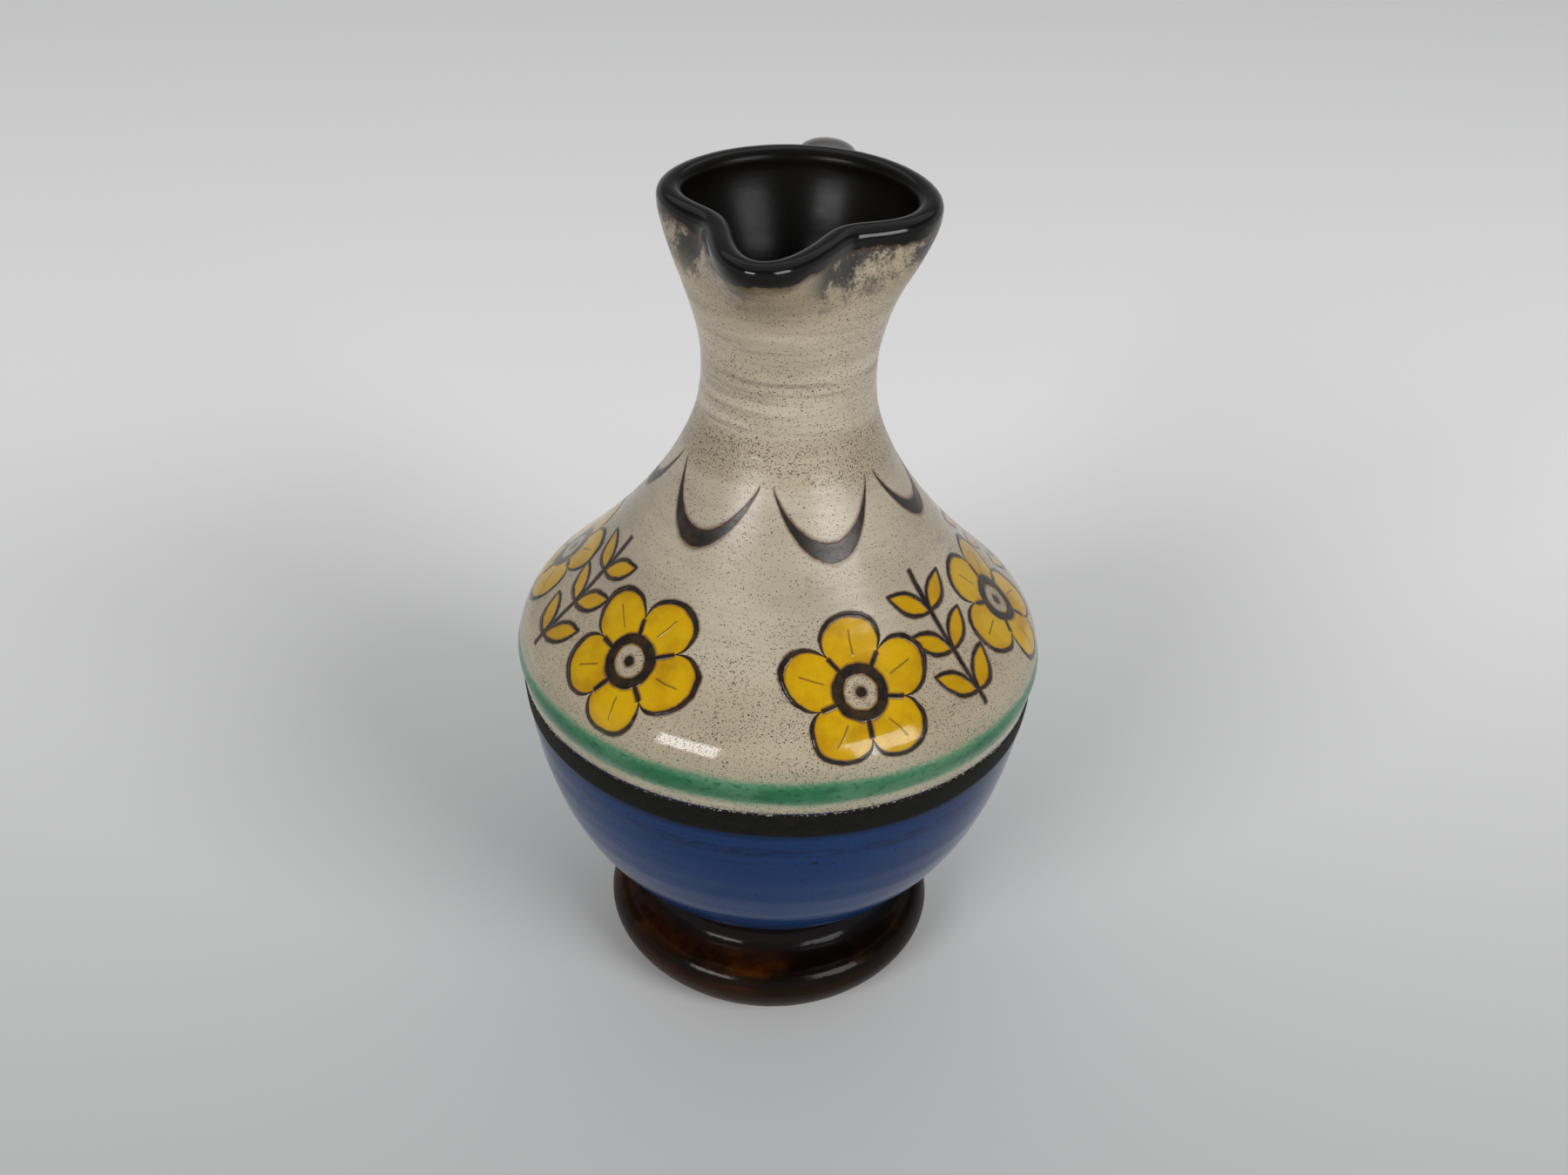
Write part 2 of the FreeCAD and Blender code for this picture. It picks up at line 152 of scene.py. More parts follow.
outside = chain(
    swing(rest_out, roll_low, roll_side),
    swing(roll_side, roll_high, roll_top),
    swing(roll_top, waist_low, fillet_low),
    swing(fillet_low, waist, fillet_high, 0.5),
    swing(fillet_high, swell, belly),
    straight(belly, keel_start),
    swing(keel_start, keel, flank_start),
    swing(flank_start, flank, collar),
    swing(collar, neck_low, neck_mid),
    swing(neck_mid, neck_high, throat),
)


def radius_at(height):
    """The outside radius of the wall at a height below the throat."""
    return np.interp(height, outside[:, 1], outside[:, 0])


print("profile rows outside:", len(outside))

# %% [markdown]
# ## The inside of the wall
# The inside of a thrown jug follows its outside. It could be made by a Solidify modifier, but
# the bowl has a thicker floor, so the same corners are used again, 4 mm further in.

# %% The inside profile
wall = 4.0
inner_gap = 2.0
innermost = 2.0


def inward(point, rise=0.0):
    """The same corner on the inside of the wall."""
    return (point[0] - wall, point[1] + rise)


floor_z = waist_z + 5.0
floor_corner = (waist_radius, floor_z)
floor_edge = (18.0, floor_z)
swell_in = inward(swell, wall / 2)
bowl_turn = part_way(swell_in, floor_corner, 0.8)
keel_in, flank_in = inward(keel, -wall / 2), inward(flank, -wall / 2)
keel_in_start = part_way(inward(belly), keel_in, keel_share)
flank_in_start = part_way(keel_in, flank_in, flank_share)
inside = chain(
    swing(inward(throat), inward(neck_high), inward(neck_mid), inner_gap),
    swing(inward(neck_mid), inward(neck_low), inward(collar), inner_gap),
    swing(inward(collar), flank_in, flank_in_start, inner_gap),
    swing(flank_in_start, keel_in, keel_in_start, inner_gap),
    straight(keel_in_start, inward(belly), inner_gap),
    swing(inward(belly), swell_in, bowl_turn, inner_gap),
    swing(bowl_turn, floor_corner, floor_edge, inner_gap),
    straight(floor_edge, (innermost, floor_z), inner_gap),
)
print("profile rows inside:", len(inside))

# %% [markdown]
# ## The crest of the lip
# The potter presses the soft lip in with two fingers and draws the clay between them out into
# a spout. Seen from above, the lip's crest is an oval plus a narrow bell curve at the spout,
# minus a wider one under each finger, which has a direction in degrees from the spout, a
# depth and a spread. Sculpting could do it, but a formula can be adjusted.

# %% Lip crest
columns = 320
angle = np.arange(columns) / columns * TURN
lip_side, lip_back = throat_radius + 6.3, throat_radius + 6.5
spout_swell, spout_angle = 6.2, 19.0
spout_turn = -2.6
pinches = [(-50.0, 8.2, 32.0), (46.0, 9.5, 31.0)]


def lip_crest(turn):
    """Distance of the lip's crest from the axis: the oval, plus the bell of the spout,
    minus the bell of each pinch. The potter's two fingers never press alike."""
    degrees = np.degrees(np.arctan2(np.sin(turn), np.cos(turn)))
    oval = lip_side + np.maximum(0, -np.cos(turn)) ** 2 * (lip_back - lip_side)
    spout = spout_swell * np.exp(-((degrees - spout_turn) / spout_angle) ** 2)
    dents = sum(depth * np.exp(-((degrees - at) / spread) ** 2) for at, depth, spread in pinches)
    return oval + spout - dents


def plan(radius, turn):
    """Points of a plan view: the spout is at -Y and the angle grows towards +X."""
    return np.stack([radius * np.sin(turn), -radius * np.cos(turn)], axis=-1)


print("the crest is", lip_crest(angle).min().round(1), "to", lip_crest(angle).max().round(1), "mm out")

# %% [markdown]
# ## The pinched mouth
# Ten rings carry the round throat to that crest, over the lip and down the inside. One smooth
# skin is drawn through them, so the lip has no edge. The crest drops towards the spout.

# %% Rings of the mouth
lip_thickness, lip_roll = 4.0, 1.1
lip_fall = 3.4
throat_slope = (throat_radius - neck_radius) / (throat_z - neck_high[1])
ring_rises = [0.0, 3.0, 9.0, crest_z - throat_z - 4.5, crest_z - throat_z]
ring_shares = [0.0, 0.0, 0.32, 0.94, 1.0]
front_y, back_y = -lip_crest(0.0), lip_crest(math.pi)


def lip_point(side):
    """Points outside (1) or inside (-1) the crest: half the lip's thickness away, and a
    little more inside, where the glaze rolled over the lip and fattened it."""
    half = lip_thickness / 2 + (lip_roll if side < 0 else 0)
    step = TURN / 720
    along = plan(lip_crest(angle + step), angle + step) - plan(lip_crest(angle - step), angle - step)
    along /= np.linalg.norm(along, axis=-1, keepdims=True)
    outward = np.stack([along[:, 1], -along[:, 0]], axis=-1)
    return plan(lip_crest(angle), angle) + outward * side * half


def control_ring(rise, share, side):
    """A ring that has gone a share of the way from the round neck's cone to the lip."""
    cone = throat_radius - (wall if side < 0 else 0) + rise * throat_slope
    lip = lip_point(side)
    flat = plan(cone, angle) * (1 - share) + lip * share
    fall = share * lip_fall * (back_y - lip[:, 1]) / (back_y - front_y)
    return np.concatenate([flat, (throat_z + rise - fall)[:, None]], axis=1)


levels = list(zip(ring_rises, ring_shares))
rings = [control_ring(*level, 1) for level in levels]
rings += [control_ring(*level, -1) for level in reversed(levels)]
print("control rings:", len(rings))

# %% Skin of the mouth
rows_per_ring = 12


def smooth_skin(rings, steps):
    """Quadratic curves that run from the middle of one leg to the middle of the next."""
    joints = [rings[0]] + [(a + b) / 2 for a, b in zip(rings[1:-2], rings[2:-1])] + [rings[-1]]
    share = np.linspace(0, 1, steps + 1)[:, None, None]
    curves = [
        (1 - share) ** 2 * start + 2 * share * (1 - share) * corner + share ** 2 * end
        for start, corner, end in zip(joints, rings[1:-1], joints[1:])
    ]
    return chain(*curves)


mouth_rows = smooth_skin(rings, rows_per_ring)
print("mouth rows:", len(mouth_rows), "spout reach:", round(float(-mouth_rows[..., 1].min()), 2))

# %% [markdown]
# ## One skin for the whole jug
# The whole skin, from the foot over the lip to the floor inside, is one array of rows. Its
# normals are worked out before it is cut, so light runs across the seams without a break, as
# it does on the real jug, where glaze covers them. Soft throwing marks press the wall in by
# about a tenth of a millimetre at most.

# %% Turning a profile
press = 0.03


def throwing_marks(turn, height):
    """How far the wall moves out, always below zero because the fingers press it in: two
    sets of slow rings that fade and return round the jug."""
    coarse = np.sin(TURN * height / 9.0 + 1.3 * np.sin(turn))
    fine = np.sin(TURN * height / 6.1 + np.cos(turn) + 2)
    patch = 0.5 + 0.5 * np.sin(TURN * height / 41.0 + turn)
    return press * ((coarse + fine) * patch - 2)


def turned(profile):
    """A profile carried round the axis, with the throwing marks pressed in."""
    radius, height = profile[:, :1], profile[:, 1:]
    radius = radius + throwing_marks(angle, height) * np.clip(radius / rest_radius, 0, 1)
    level = np.broadcast_to(height[..., None], radius.shape + (1,))
    return np.concatenate([plan(radius, angle), level], axis=-1)


def normals_of(grid, wrap_rows=False):
    """Unit normals from the cross product of the two directions of a grid."""
    across = np.roll(grid, -1, axis=1) - np.roll(grid, 1, axis=1)
    if wrap_rows:
        up = np.roll(grid, -1, axis=0) - np.roll(grid, 1, axis=0)
    else:
        up = np.gradient(grid, axis=0)
    normal = np.cross(across, up)
    return normal / np.maximum(np.linalg.norm(normal, axis=-1, keepdims=True), 1e-9)


outer_skin, inner_skin = turned(outside), turned(inside)
print("outer and inner skin:", outer_skin.shape[:2], inner_skin.shape[:2])

# %% Joining the skins
blend_rows = 10
fade = np.clip(1 - np.arange(len(mouth_rows)) / blend_rows, 0, 1) ** 2
throat_error = mouth_rows[0] - outer_skin[-1]
mouth_skin = mouth_rows - fade[:, None, None] * throat_error
throat_error = mouth_skin[-1] - inner_skin[0]
mouth_skin = mouth_skin - fade[::-1, None, None] * throat_error
skin = np.concatenate([outer_skin, mouth_skin[1:], inner_skin[1:]])
skin_normals = normals_of(skin)
outer_rows, mouth_count = len(outer_skin), len(mouth_skin)
inner_start = outer_rows + mouth_count - 2


def outer_row(height):
    """The number of the outside row nearest to a height."""
    return int(np.abs(outside[:, 1] - height).argmin())


def inner_row(height):
    """The number of the inside row nearest to a height."""
    return inner_start + int(np.abs(inside[:, 1] - height).argmin())


print("skin rows and columns:", skin.shape[:2])

# %% [markdown]
# ## From a grid to a mesh
# A grid becomes four-sided faces, joined round the axis. Rings are joined in the other
# direction too, which gives a closed tube. A surface that meets the axis gets one vertex
# there and a fan of triangles instead.

# %% Mesh maker
pieces = {}


def quads(rows, count, wrap):
    """The corner numbers of all four-sided faces of a grid whose columns go round."""
    across = np.arange(count)
    start = np.arange(rows if wrap else rows - 1)[:, None] * count
    above = (start + count) % (rows * count)
    following = (across + 1) % count
    faces = np.stack([start + across, start + following, above + following, above + across], axis=-1)
    return faces.reshape(-1, 4)


def make_piece(name, grid, normals, node, slot, poles=()):
    """A closed mesh from a grid in millimetres that stands for one solid. Each pole closes
    the first or the last row with a fan."""
    rows, count = grid.shape[:2]
    points = [grid.reshape(-1, 3)]
    directions = [normals.reshape(-1, 3)]
    faces = quads(rows, count, not poles).tolist()
    for number, (pole, down) in enumerate(poles):
        centre = rows * count + number
        edge = np.arange(count) + (0 if down else (rows - 1) * count)
        pairs = [edge, np.roll(edge, -1)] if not down else [np.roll(edge, -1), edge]
        faces += np.stack(pairs + [np.full(count, centre)], axis=-1).tolist()
        points.append(np.array([pole], float))
        directions.append(np.array([[0, 0, -1.0 if down else 1.0]]))
    mesh = bpy.data.meshes.new(name)
    mesh.from_pydata((np.concatenate(points) * MM).tolist(), [], faces)
    mesh.polygons.foreach_set("use_smooth", np.ones(len(mesh.polygons), bool))
    mesh.normals_split_custom_set_from_vertices(np.concatenate(directions).tolist())
    mesh.update()
    piece = bpy.data.objects.new(name, mesh)
    bpy.context.scene.collection.objects.link(piece)
    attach(piece, "root")
    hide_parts(node)
    pieces[name] = piece
    print(name, "has", len(mesh.polygons), "faces")


print("a closed tube of 4 rings and 6 columns has", len(quads(4, 6, True)), "faces")

# %% [markdown]
# ## Foot
# The foot is turned when the clay is leather hard: a rolled flange outside, a flat ring to
# stand on and a bell-shaped hollow inside. Its outside comes from the skin. The ring and the
# hollow are short curves of their own, with small rounded edges at the ring.

# %% Make the foot
edge = 0.4
rest_in = rest_radius - rest_width
hollow_top = (waist_radius - 7.0, waist_z)
hollow = chain(
    swing(hollow_top, (waist_radius - 0.6, 14.0), (rest_in - edge / 2, edge)),
    swing((rest_in - edge / 2, edge), (rest_in, 0), (rest_in + edge, 0), 0.2),
    straight((rest_in + edge, 0), (rest_out[0] - edge, 0), 1.0),
)
foot_out = slice(0, outer_row(waist_z) + 1)
foot_grid = np.concatenate([skin[foot_out], turned(hollow)])
foot_normals = normals_of(foot_grid, True)
foot_normals[2:foot_out.stop] = skin_normals[2:foot_out.stop]
make_piece("foot_turned", foot_grid, foot_normals, "foot", "foot_glaze")

# %% [markdown]
# ## Bowl
# The bowl closes at the bottom with the jug's floor. A separate disc could close it, but a
# pole below and one above keep it one closed mesh.

# %% Make the bowl
under = turned(np.array([[radius, waist_z] for radius in (innermost, 12.0, 22.0)]))
bowl_out = slice(outer_row(waist_z), outer_row(belly_z) + 1)
bowl_in = slice(inner_row(belly_z), len(skin))
bowl_grid = np.concatenate([under, skin[bowl_out], skin[bowl_in]])
bowl_normals = np.concatenate([
    np.broadcast_to([0.0, 0.0, -1.0], under.shape),
    skin_normals[bowl_out],
    skin_normals[bowl_in],
])
bowl_poles = [((0, 0, waist_z), True), ((0, 0, floor_z), False)]
make_piece("bowl_thrown", bowl_grid, bowl_normals, "bowl", "blue_glaze", bowl_poles)

# %% [markdown]
# ## Shoulder, neck and mouth
# The shoulder and the neck are open rings: up the outside and down the inside between two
# seams. The mouth's rows run from the throat over the lip and back to the throat inside.
# Boolean cuts could part them too, but rows of one grid meet vertex to vertex.


# %% Make the open rings
def ring_of(low, high):
    """The rows of the skin between two heights: up the outside, then down the inside."""
    out = slice(outer_row(low), outer_row(high) + 1)
    back = slice(inner_row(high), inner_row(low) + 1)
    grid = np.concatenate([skin[out], skin[back]])
    return grid, np.concatenate([skin_normals[out], skin_normals[back]])


make_piece("shoulder_thrown", *ring_of(belly_z, collar_z), "shoulder", "cream_glaze")
make_piece("neck_thrown", *ring_of(collar_z, throat_z), "neck", "cream_glaze")
mouth_slice = slice(outer_rows - 1, inner_start + 1)
make_piece("mouth_pinched", skin[mouth_slice], skin_normals[mouth_slice], "mouth", "liner_glaze")

# %% [markdown]
# ## Path of the handle
# A handle is pulled from a lump of wet clay until it is a long oval strap, then luted on at
# both ends, where it swells into the wall. Here an oval is carried along a smooth path in the
# plane of the spout. A curve with a bevel could do it, but its ends are harder to seat in
# the wall. Each station says how far out towards the widest point the strap has come, how
# far up towards the top of its arch, and how thick it is.

# %% Handle path
strap_width, strap_depth = 11.8, 6.4
root_swell = 1.30
low_root = part_way(keel, flank, 0.45)
high_root = (throat_radius - wall, throat_z + 6.0)
strap_out, strap_top = belly_radius - 3.45, throat_z + 15.5
lip_back_y = lip_back + lip_thickness / 2
strap_shares = [
    (0.787, 0.110, 1.10),
    (0.966, 0.310, 1.00),
    (1.000, 0.560, 1.00),
    (0.933, 0.790, 1.00),
    (0.720, 0.940, 1.02),
    (0.327, 1.000, 1.06),
]
stations = [(low_root[0] - 1.3, low_root[1] - 1.5, root_swell)]
for reach, rise, size in strap_shares:
    y = lip_back_y + reach * (strap_out - lip_back_y)
    z = low_root[1] + rise * (strap_top - low_root[1])
    stations.append((y, z, size))
stations.append((*high_root, root_swell))


def through(points, steps):
    """A smooth path through points. Between two of them it is the cubic whose slope at each
    is half the way from the point before to the point after."""
    points = np.array(points, float)
    padded = np.concatenate([[2 * points[0] - points[1]], points, [2 * points[-1] - points[-2]]])
    slope = (padded[2:] - padded[:-2]) / 2
    t = np.linspace(0, 1, steps + 1)[:, None]
    rise = t * t * (3 - 2 * t)
    curves = [
        a + (b - a) * rise + slope_a * t * (1 - t) ** 2 - slope_b * t * t * (1 - t)
        for a, b, slope_a, slope_b in zip(points, points[1:], slope, slope[1:])
    ]
    return chain(*curves)


path = through(stations, 18)
print("handle path from", path[0].round(1), "to", path[-1].round(1))

# %% [markdown]
# ## Strap and roots
# The strap's last rings slide along it until they lie in the middle of the wall, so both
# roots sit in the clay from every side. Just above the wall they flare into a small fillet of
# slip, which the potter smooths on with a wet finger. A Boolean union would fuse strap and
# wall, but it leaves ragged faces along the join.

# %% Strap
around = 48
round_angle = -np.arange(around) / around * TURN
tangent = np.gradient(path[:, :2], axis=0)
tangent /= np.linalg.norm(tangent, axis=1, keepdims=True)
half_width = strap_width / 2 * path[:, 2:]
half_depth = strap_depth / 2 * path[:, 2:]
strap = np.stack([
    half_width * np.cos(round_angle),
    path[:, :1] - tangent[:, 1:] * half_depth * np.sin(round_angle),
    path[:, 1:2] + tangent[:, :1] * half_depth * np.sin(round_angle),
], axis=-1)
print("strap rings:", len(strap))

# %% Finding the wall
settling_steps, settling_share = 12, 0.7


def middle_radius(height):
    """The radius of the middle of the wall at the jug's back, from the foot to the lip."""
    back = mouth_skin[: mouth_count // 2, columns // 2]
    heights = np.concatenate([outside[:, 1], back[1:, 2]])
    radii = np.concatenate([outside[:, 0], back[1:, 1]])
    return np.interp(height, heights, radii) - wall / 2


def slide_to_wall(points, direction):
    """Moves points along a direction until they lie in the middle of the wall."""
    for _ in range(settling_steps):
        gap = np.hypot(points[:, 0], points[:, 1]) - middle_radius(points[:, 2])
        points = points - settling_share * gap[:, None] * direction
    return points


print("behind the throat the wall's middle is", middle_radius(throat_z).round(1), "mm out")

# %% Seat the roots
clearance = 1.2
fillet_rows, fillet_flare, end_flare = 6, 0.16, 1.1


def seat(grid, end):
    """Keeps the rings of one end that are clear of the wall, and ends them with rings that
    slide into it with a small fillet of slip."""
    first = grid if end == "low" else grid[::-1]
    gap = np.hypot(first[..., 0], first[..., 1]) - middle_radius(first[..., 2]) - wall / 2
    clear = first[int(np.argmax(gap.min(axis=1) > clearance)):]
    run = clear[0] - clear[1]
    direction = run / np.linalg.norm(run, axis=1, keepdims=True)
    landed = slide_to_wall(clear[0].copy(), -direction)
    centre = landed.mean(axis=0)
    share = np.linspace(0, 1, fillet_rows + 1)[:-1, None, None]
    rows = landed + share * (clear[0] - landed)
    middle = rows.mean(axis=1, keepdims=True)
    rows = middle + (rows - middle) * (1 + fillet_flare * (1 - share) ** 2)
    rows[0] = centre + (landed - centre) * end_flare
    joined = np.concatenate([rows, clear])
    return joined if end == "low" else joined[::-1]


strap = seat(seat(strap, "low"), "high")
strap_poles = [(strap[0].mean(axis=0), True), (strap[-1].mean(axis=0), False)]
make_piece("handle_pulled", strap, normals_of(strap), "handle", "liner_glaze", strap_poles)

# %% [markdown]
# ## Slip band and glaze line
# Both are brushed on while the jug turns on the wheel, so they lie on the wall as thin raised
# rings with slightly unsteady edges. Each is a lens: its outside rises from the wall and sinks
# back into it, and its inside stays hidden in the clay. Bump alone could fake them, but a
# raised line catches the light at the edge of the jug as well.

# %% Make the two lines
line_rows, line_back_rows = 25, 3
sunk, buried = 0.08, 0.6


def unsteady(seed, size):
    """A slow waver round the jug from a few sine waves with fixed phases."""
    waves = [(3, 0.9), (7, 0.6), (13, 0.45), (29, 0.25)]
    return size * sum(part * np.sin(count * angle + seed * count) for count, part in waves)


def raised_line(low, high, proud, roundness):
    """A ring that lies on the wall between two heights. Across it the height above the wall
    is proud times (1 - |2v - 1| ^ roundness), less a little, so that its edges dive in."""
    v = np.linspace(0, 1, line_rows)[:, None]
    height = low + (high - low) * v
    lift_up = (proud + sunk) * (1 - np.abs(2 * v - 1) ** roundness) - sunk
    outer = radius_at(height) + throwing_marks(angle, height) + lift_up
    v_back = np.linspace(1, 0, line_back_rows + 2)[1:-1, None]
    height_back = low + (high - low) * v_back
    inner = np.broadcast_to(radius_at(height_back) - buried, (line_back_rows, columns))
    grid_z = np.concatenate([height, height_back])
    return np.concatenate([plan(np.concatenate([outer, inner]), angle), grid_z[..., None]], axis=-1)


band_low, band_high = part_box("black_band")[0].z / MM, top_of("black_band")
line_low, line_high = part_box("green_line")[0].z / MM, top_of("green_line")
band_edges = (band_low + unsteady(1, 0.12), band_high + unsteady(2, 0.10) - 0.1)
line_edges = (line_low + unsteady(3, 0.22), line_high + unsteady(4, 0.24) - 0.3)
band = raised_line(*band_edges, proud=0.22, roundness=8)
bead = raised_line(*line_edges, proud=0.42, roundness=2)
make_piece("band_slip", band, normals_of(band, True), "black_band", "black_slip")
make_piece("line_bead", bead, normals_of(bead, True), "green_line", "green_glaze")

# %% [markdown]
# ## Writing a glaze as arithmetic
# A glaze is a colour, a gloss and a relief that change from place to place. Materials are
# graphs of nodes, and long graphs are hard to read. Here a number on the surface is a small
# object that understands plain arithmetic and adds the nodes by itself.


# %% Numbers on the surface
def arithmetic(operation, swapped=False):
    """A method that adds the Math node of an operation."""
    def method(self, *other):
        parts = (*other, self) if swapped else (self, *other)
        return self.tree.math(operation, *parts)
    return method


class Number:
    """One number at each point of a surface."""

    def __init__(self, tree, socket):
        self.tree = tree
        self.socket = socket

    __add__ = __radd__ = arithmetic("ADD")
    __sub__ = arithmetic("SUBTRACT")
    __rsub__ = arithmetic("SUBTRACT", swapped=True)
    __mul__ = __rmul__ = arithmetic("MULTIPLY")
    __truediv__ = arithmetic("DIVIDE")
    __abs__ = arithmetic("ABSOLUTE")


def squared(number):
    """A number times itself."""
    return number * number


print("a number can be added, subtracted, multiplied, divided and stripped of its sign")

# %% [markdown]
# ## Writing nodes
# The nodes themselves are added by a second kind of object, one for each tree of nodes. It
# feeds a socket with a number, a link or a constant. A palette is such a tree that also
# knows what a glaze needs: a soft step, a soft band, the largest of several numbers, and
# coats of colour over one another. Node groups could hold these, but functions are shorter.


# %% Trees of nodes
class Tree:
    """A tree of nodes that grows as numbers and colours are asked for."""

    def __init__(self, graph):
        self.graph = graph

    def feed(self, socket, value):
        """Links a value to a socket, or writes a constant on it."""
        if isinstance(value, Number):
            value = value.socket
        if isinstance(value, bpy.types.NodeSocket):
            self.graph.links.new(value, socket)
        elif isinstance(value, tuple) and socket.type == "RGBA":
            socket.default_value = (*value, 1.0)
        else:
            socket.default_value = value

    def node(self, kind, settings=None, **inputs):
        """A new node with its settings and its inputs by name."""
        made = self.graph.nodes.new(kind)
        for key, value in (settings or {}).items():
            setattr(made, key, value)
        for key, value in inputs.items():
            self.feed(made.inputs[key.replace("_", " ")], value)
        return made

    def math(self, operation, *parts):
        """A Math node on up to three numbers."""
        made = self.node("ShaderNodeMath", {"operation": operation})
        for socket, part in zip(made.inputs, parts):
            self.feed(socket, part)
        return Number(self, made.outputs[0])


print("a tree of nodes can", [name for name in vars(Tree) if not name.startswith("_")])


# %% Soft shapes and coats
class Palette(Tree):
    """A tree that also knows the soft shapes of brushed glaze and mixes colours."""

    def ramp(self, value, start, end):
        """0 before start, 1 after end, and an S-shaped rise between them."""
        smooth = {"interpolation_type": "SMOOTHSTEP"}
        made = self.node("ShaderNodeMapRange", smooth, Value=value, From_Min=start, From_Max=end)
        return Number(self, made.outputs[0])

    def band(self, value, start, end, soft):
        """1 between start and end, fading to 0 over a soft width outside them."""
        return self.ramp(value, start - soft, start) * self.ramp(value, end + soft, end)

    def either(self, first, *others):
        """The largest of several numbers."""
        for other in others:
            first = self.math("MAXIMUM", first, other)
        return first

    def mix(self, amount, one, other):
        """A colour that goes from one to the other as the amount goes from 0 to 1."""
        made = self.node("ShaderNodeMix", {"data_type": "RGBA"}, Factor=amount)
        first, second, result = 6, 7, 2
        self.feed(made.inputs[first], one)
        self.feed(made.inputs[second], other)
        return made.outputs[result]

    def coats(self, colour, *coats):
        """A colour with coats over it. Each coat is an amount and a colour."""
        for amount, over in coats:
            colour = self.mix(amount, colour, over)
        return colour


print("a palette can also", [name for name in vars(Palette) if not name.startswith("_")])

# %% [markdown]
# ## A glaze under construction
# All patterns read the Object coordinates in millimetres, so they stay on the clay from every
# side. Noise that is drawn out round the jug gives the level streaks of a brush held still
# against the turning clay.

# %% Glazes
noise_shift = (7.3, 3.1, 5.7)


class Glaze(Palette):
    """A material with the place on the jug as ready-made numbers: x, y and z, the radius
    from the axis, and the degrees round it from the spout."""

    def __init__(self, name):
        self.material = bpy.data.materials.new(name)
        self.material.use_nodes = True
        super().__init__(self.material.node_tree)
        self.shader = self.graph.nodes["Principled BSDF"]
        self.place = self.node("ShaderNodeTexCoord").outputs["Object"]
        split = self.node("ShaderNodeSeparateXYZ", Vector=self.place)
        self.x, self.y, self.z = (Number(self, out) * (1 / MM) for out in split.outputs)
        self.radius = self.math("SQRT", squared(self.x) + squared(self.y))
        self.degrees = self.math("ARCTAN2", self.x, 0 - self.y) * (360 / TURN)

    def noise(self, size, flat=1.0, detail=2.0, seed=0.0, rough=0.5):
        """Cloudy noise whose lumps are so many millimetres high. A flatness above 1 draws
        them out round the jug into streaks."""
        across, up = 1 / (size * flat * MM), 1 / (size * MM)
        shift = tuple(seed * step for step in noise_shift)
        place = self.node("ShaderNodeMapping", Vector=self.place, Scale=(across, across, up), Location=shift)
        inputs = {"Vector": place.outputs[0], "Scale": 1.0, "Detail": detail, "Roughness": rough}
        return Number(self, self.node("ShaderNodeTexNoise", **inputs).outputs["Fac"])

    def finish(self, colour, gloss, relief=None, **plain):
        """Sets the shader: colour, roughness, a relief in millimetres and plain values."""
        self.feed(self.shader.inputs["Base Color"], colour)
        self.feed(self.shader.inputs["Roughness"], gloss)
        for key, value in plain.items():
            self.shader.inputs[key].default_value = value
        if relief is not None:
            bump = self.node("ShaderNodeBump", Height=relief, Distance=MM, Strength=1.0)
            self.feed(self.shader.inputs["Normal"], bump.outputs[0])
        print(self.material.name, "has", len(self.graph.nodes), "nodes")
        return self.material


print("a glaze can also", [name for name in vars(Glaze) if not name.startswith("_")])


# %% Dressing a piece
def dress(name, outer, inner=None, first_inner_row=0):
    """Gives a piece its outer glaze, and the inner one to the faces after a row of its grid,
    which are those that look into the jug."""
    mesh = pieces[name].data
    mesh.materials.append(outer)
    if inner is not None:
        mesh.materials.append(inner)
        numbers = np.zeros(len(mesh.polygons), np.int32)
        numbers[first_inner_row * columns:] = 1
        mesh.polygons.foreach_set("material_index", numbers)
    print(name, "wears", [material.name for material in mesh.materials])


print("ready to dress", len(pieces), "pieces")

# %% [markdown]
# ## Liner glaze
# The inside carries a dark glaze alone. It pools thick, so its colour hardly changes. What
# shows is its gloss, with faint level ripples from the fingers. One material does for the
# inside of all the rings, as one dip of glaze did on the real jug.

# %% Liner
liner_black = (0.0025, 0.0022, 0.0018)
liner_warm = (0.006, 0.004, 0.003)
liner_brown = (0.055, 0.024, 0.010)
liner_gloss, liner_ior = 0.30, 1.20


def liner_material():
    """Near black, a little warmer in clouds, with soft ripples."""
    glaze = Glaze("liner_glaze")
    tone = glaze.ramp(glaze.noise(12, 1, 3, 41), 0.4, 0.75)
    colour = glaze.mix(tone * 0.5, liner_black, liner_warm)
    relief = glaze.noise(2.6, 6, 2, 42) * 0.06
    gloss = liner_gloss + (glaze.noise(1.6, 1, 3, 43) - 0.5) * 0.10
    return glaze.finish(colour, gloss, relief, IOR=liner_ior)


liner = liner_material()

# %% [markdown]
# ## Handle glaze
# The handle was dipped in the same glaze. Over the top of its arch a painted grey sheen
# stands for the bright sky that the black glaze reflects there, and it is brown where the
# glaze is thinnest. A ramp on the height is enough to place the sheen, with some noise to
# break it up.

# %% Handle
handle_black, handle_sheen_grey = (0.014, 0.013, 0.012), (0.118, 0.111, 0.104)
handle_gloss, handle_ior = 0.17, 1.5


def handle_material():
    """Black with a painted grey sheen up the arch, and thin brown patches."""
    glaze = Glaze("handle_glaze")
    tone = glaze.ramp(glaze.noise(9, 1, 3, 44), 0.35, 0.7)
    # Grey up the arch is a painted sheen: the bright sky reflected on the black glaze.
    wear_and_sheen = glaze.ramp(glaze.z, throat_z - 2, throat_z + 14) * (0.6 + tone * 0.4)
    thin = glaze.ramp(glaze.noise(3, 1, 3, 45), 0.60, 0.78)
    colour = glaze.coats(handle_black, (wear_and_sheen, handle_sheen_grey), (thin * 0.5, liner_brown))
    relief = glaze.noise(3.5, 1, 2, 46) * 0.10 + glaze.noise(1.0, 1, 2, 47) * 0.02
    return glaze.finish(colour, handle_gloss, relief, IOR=handle_ior)


dress("handle_pulled", handle_material())

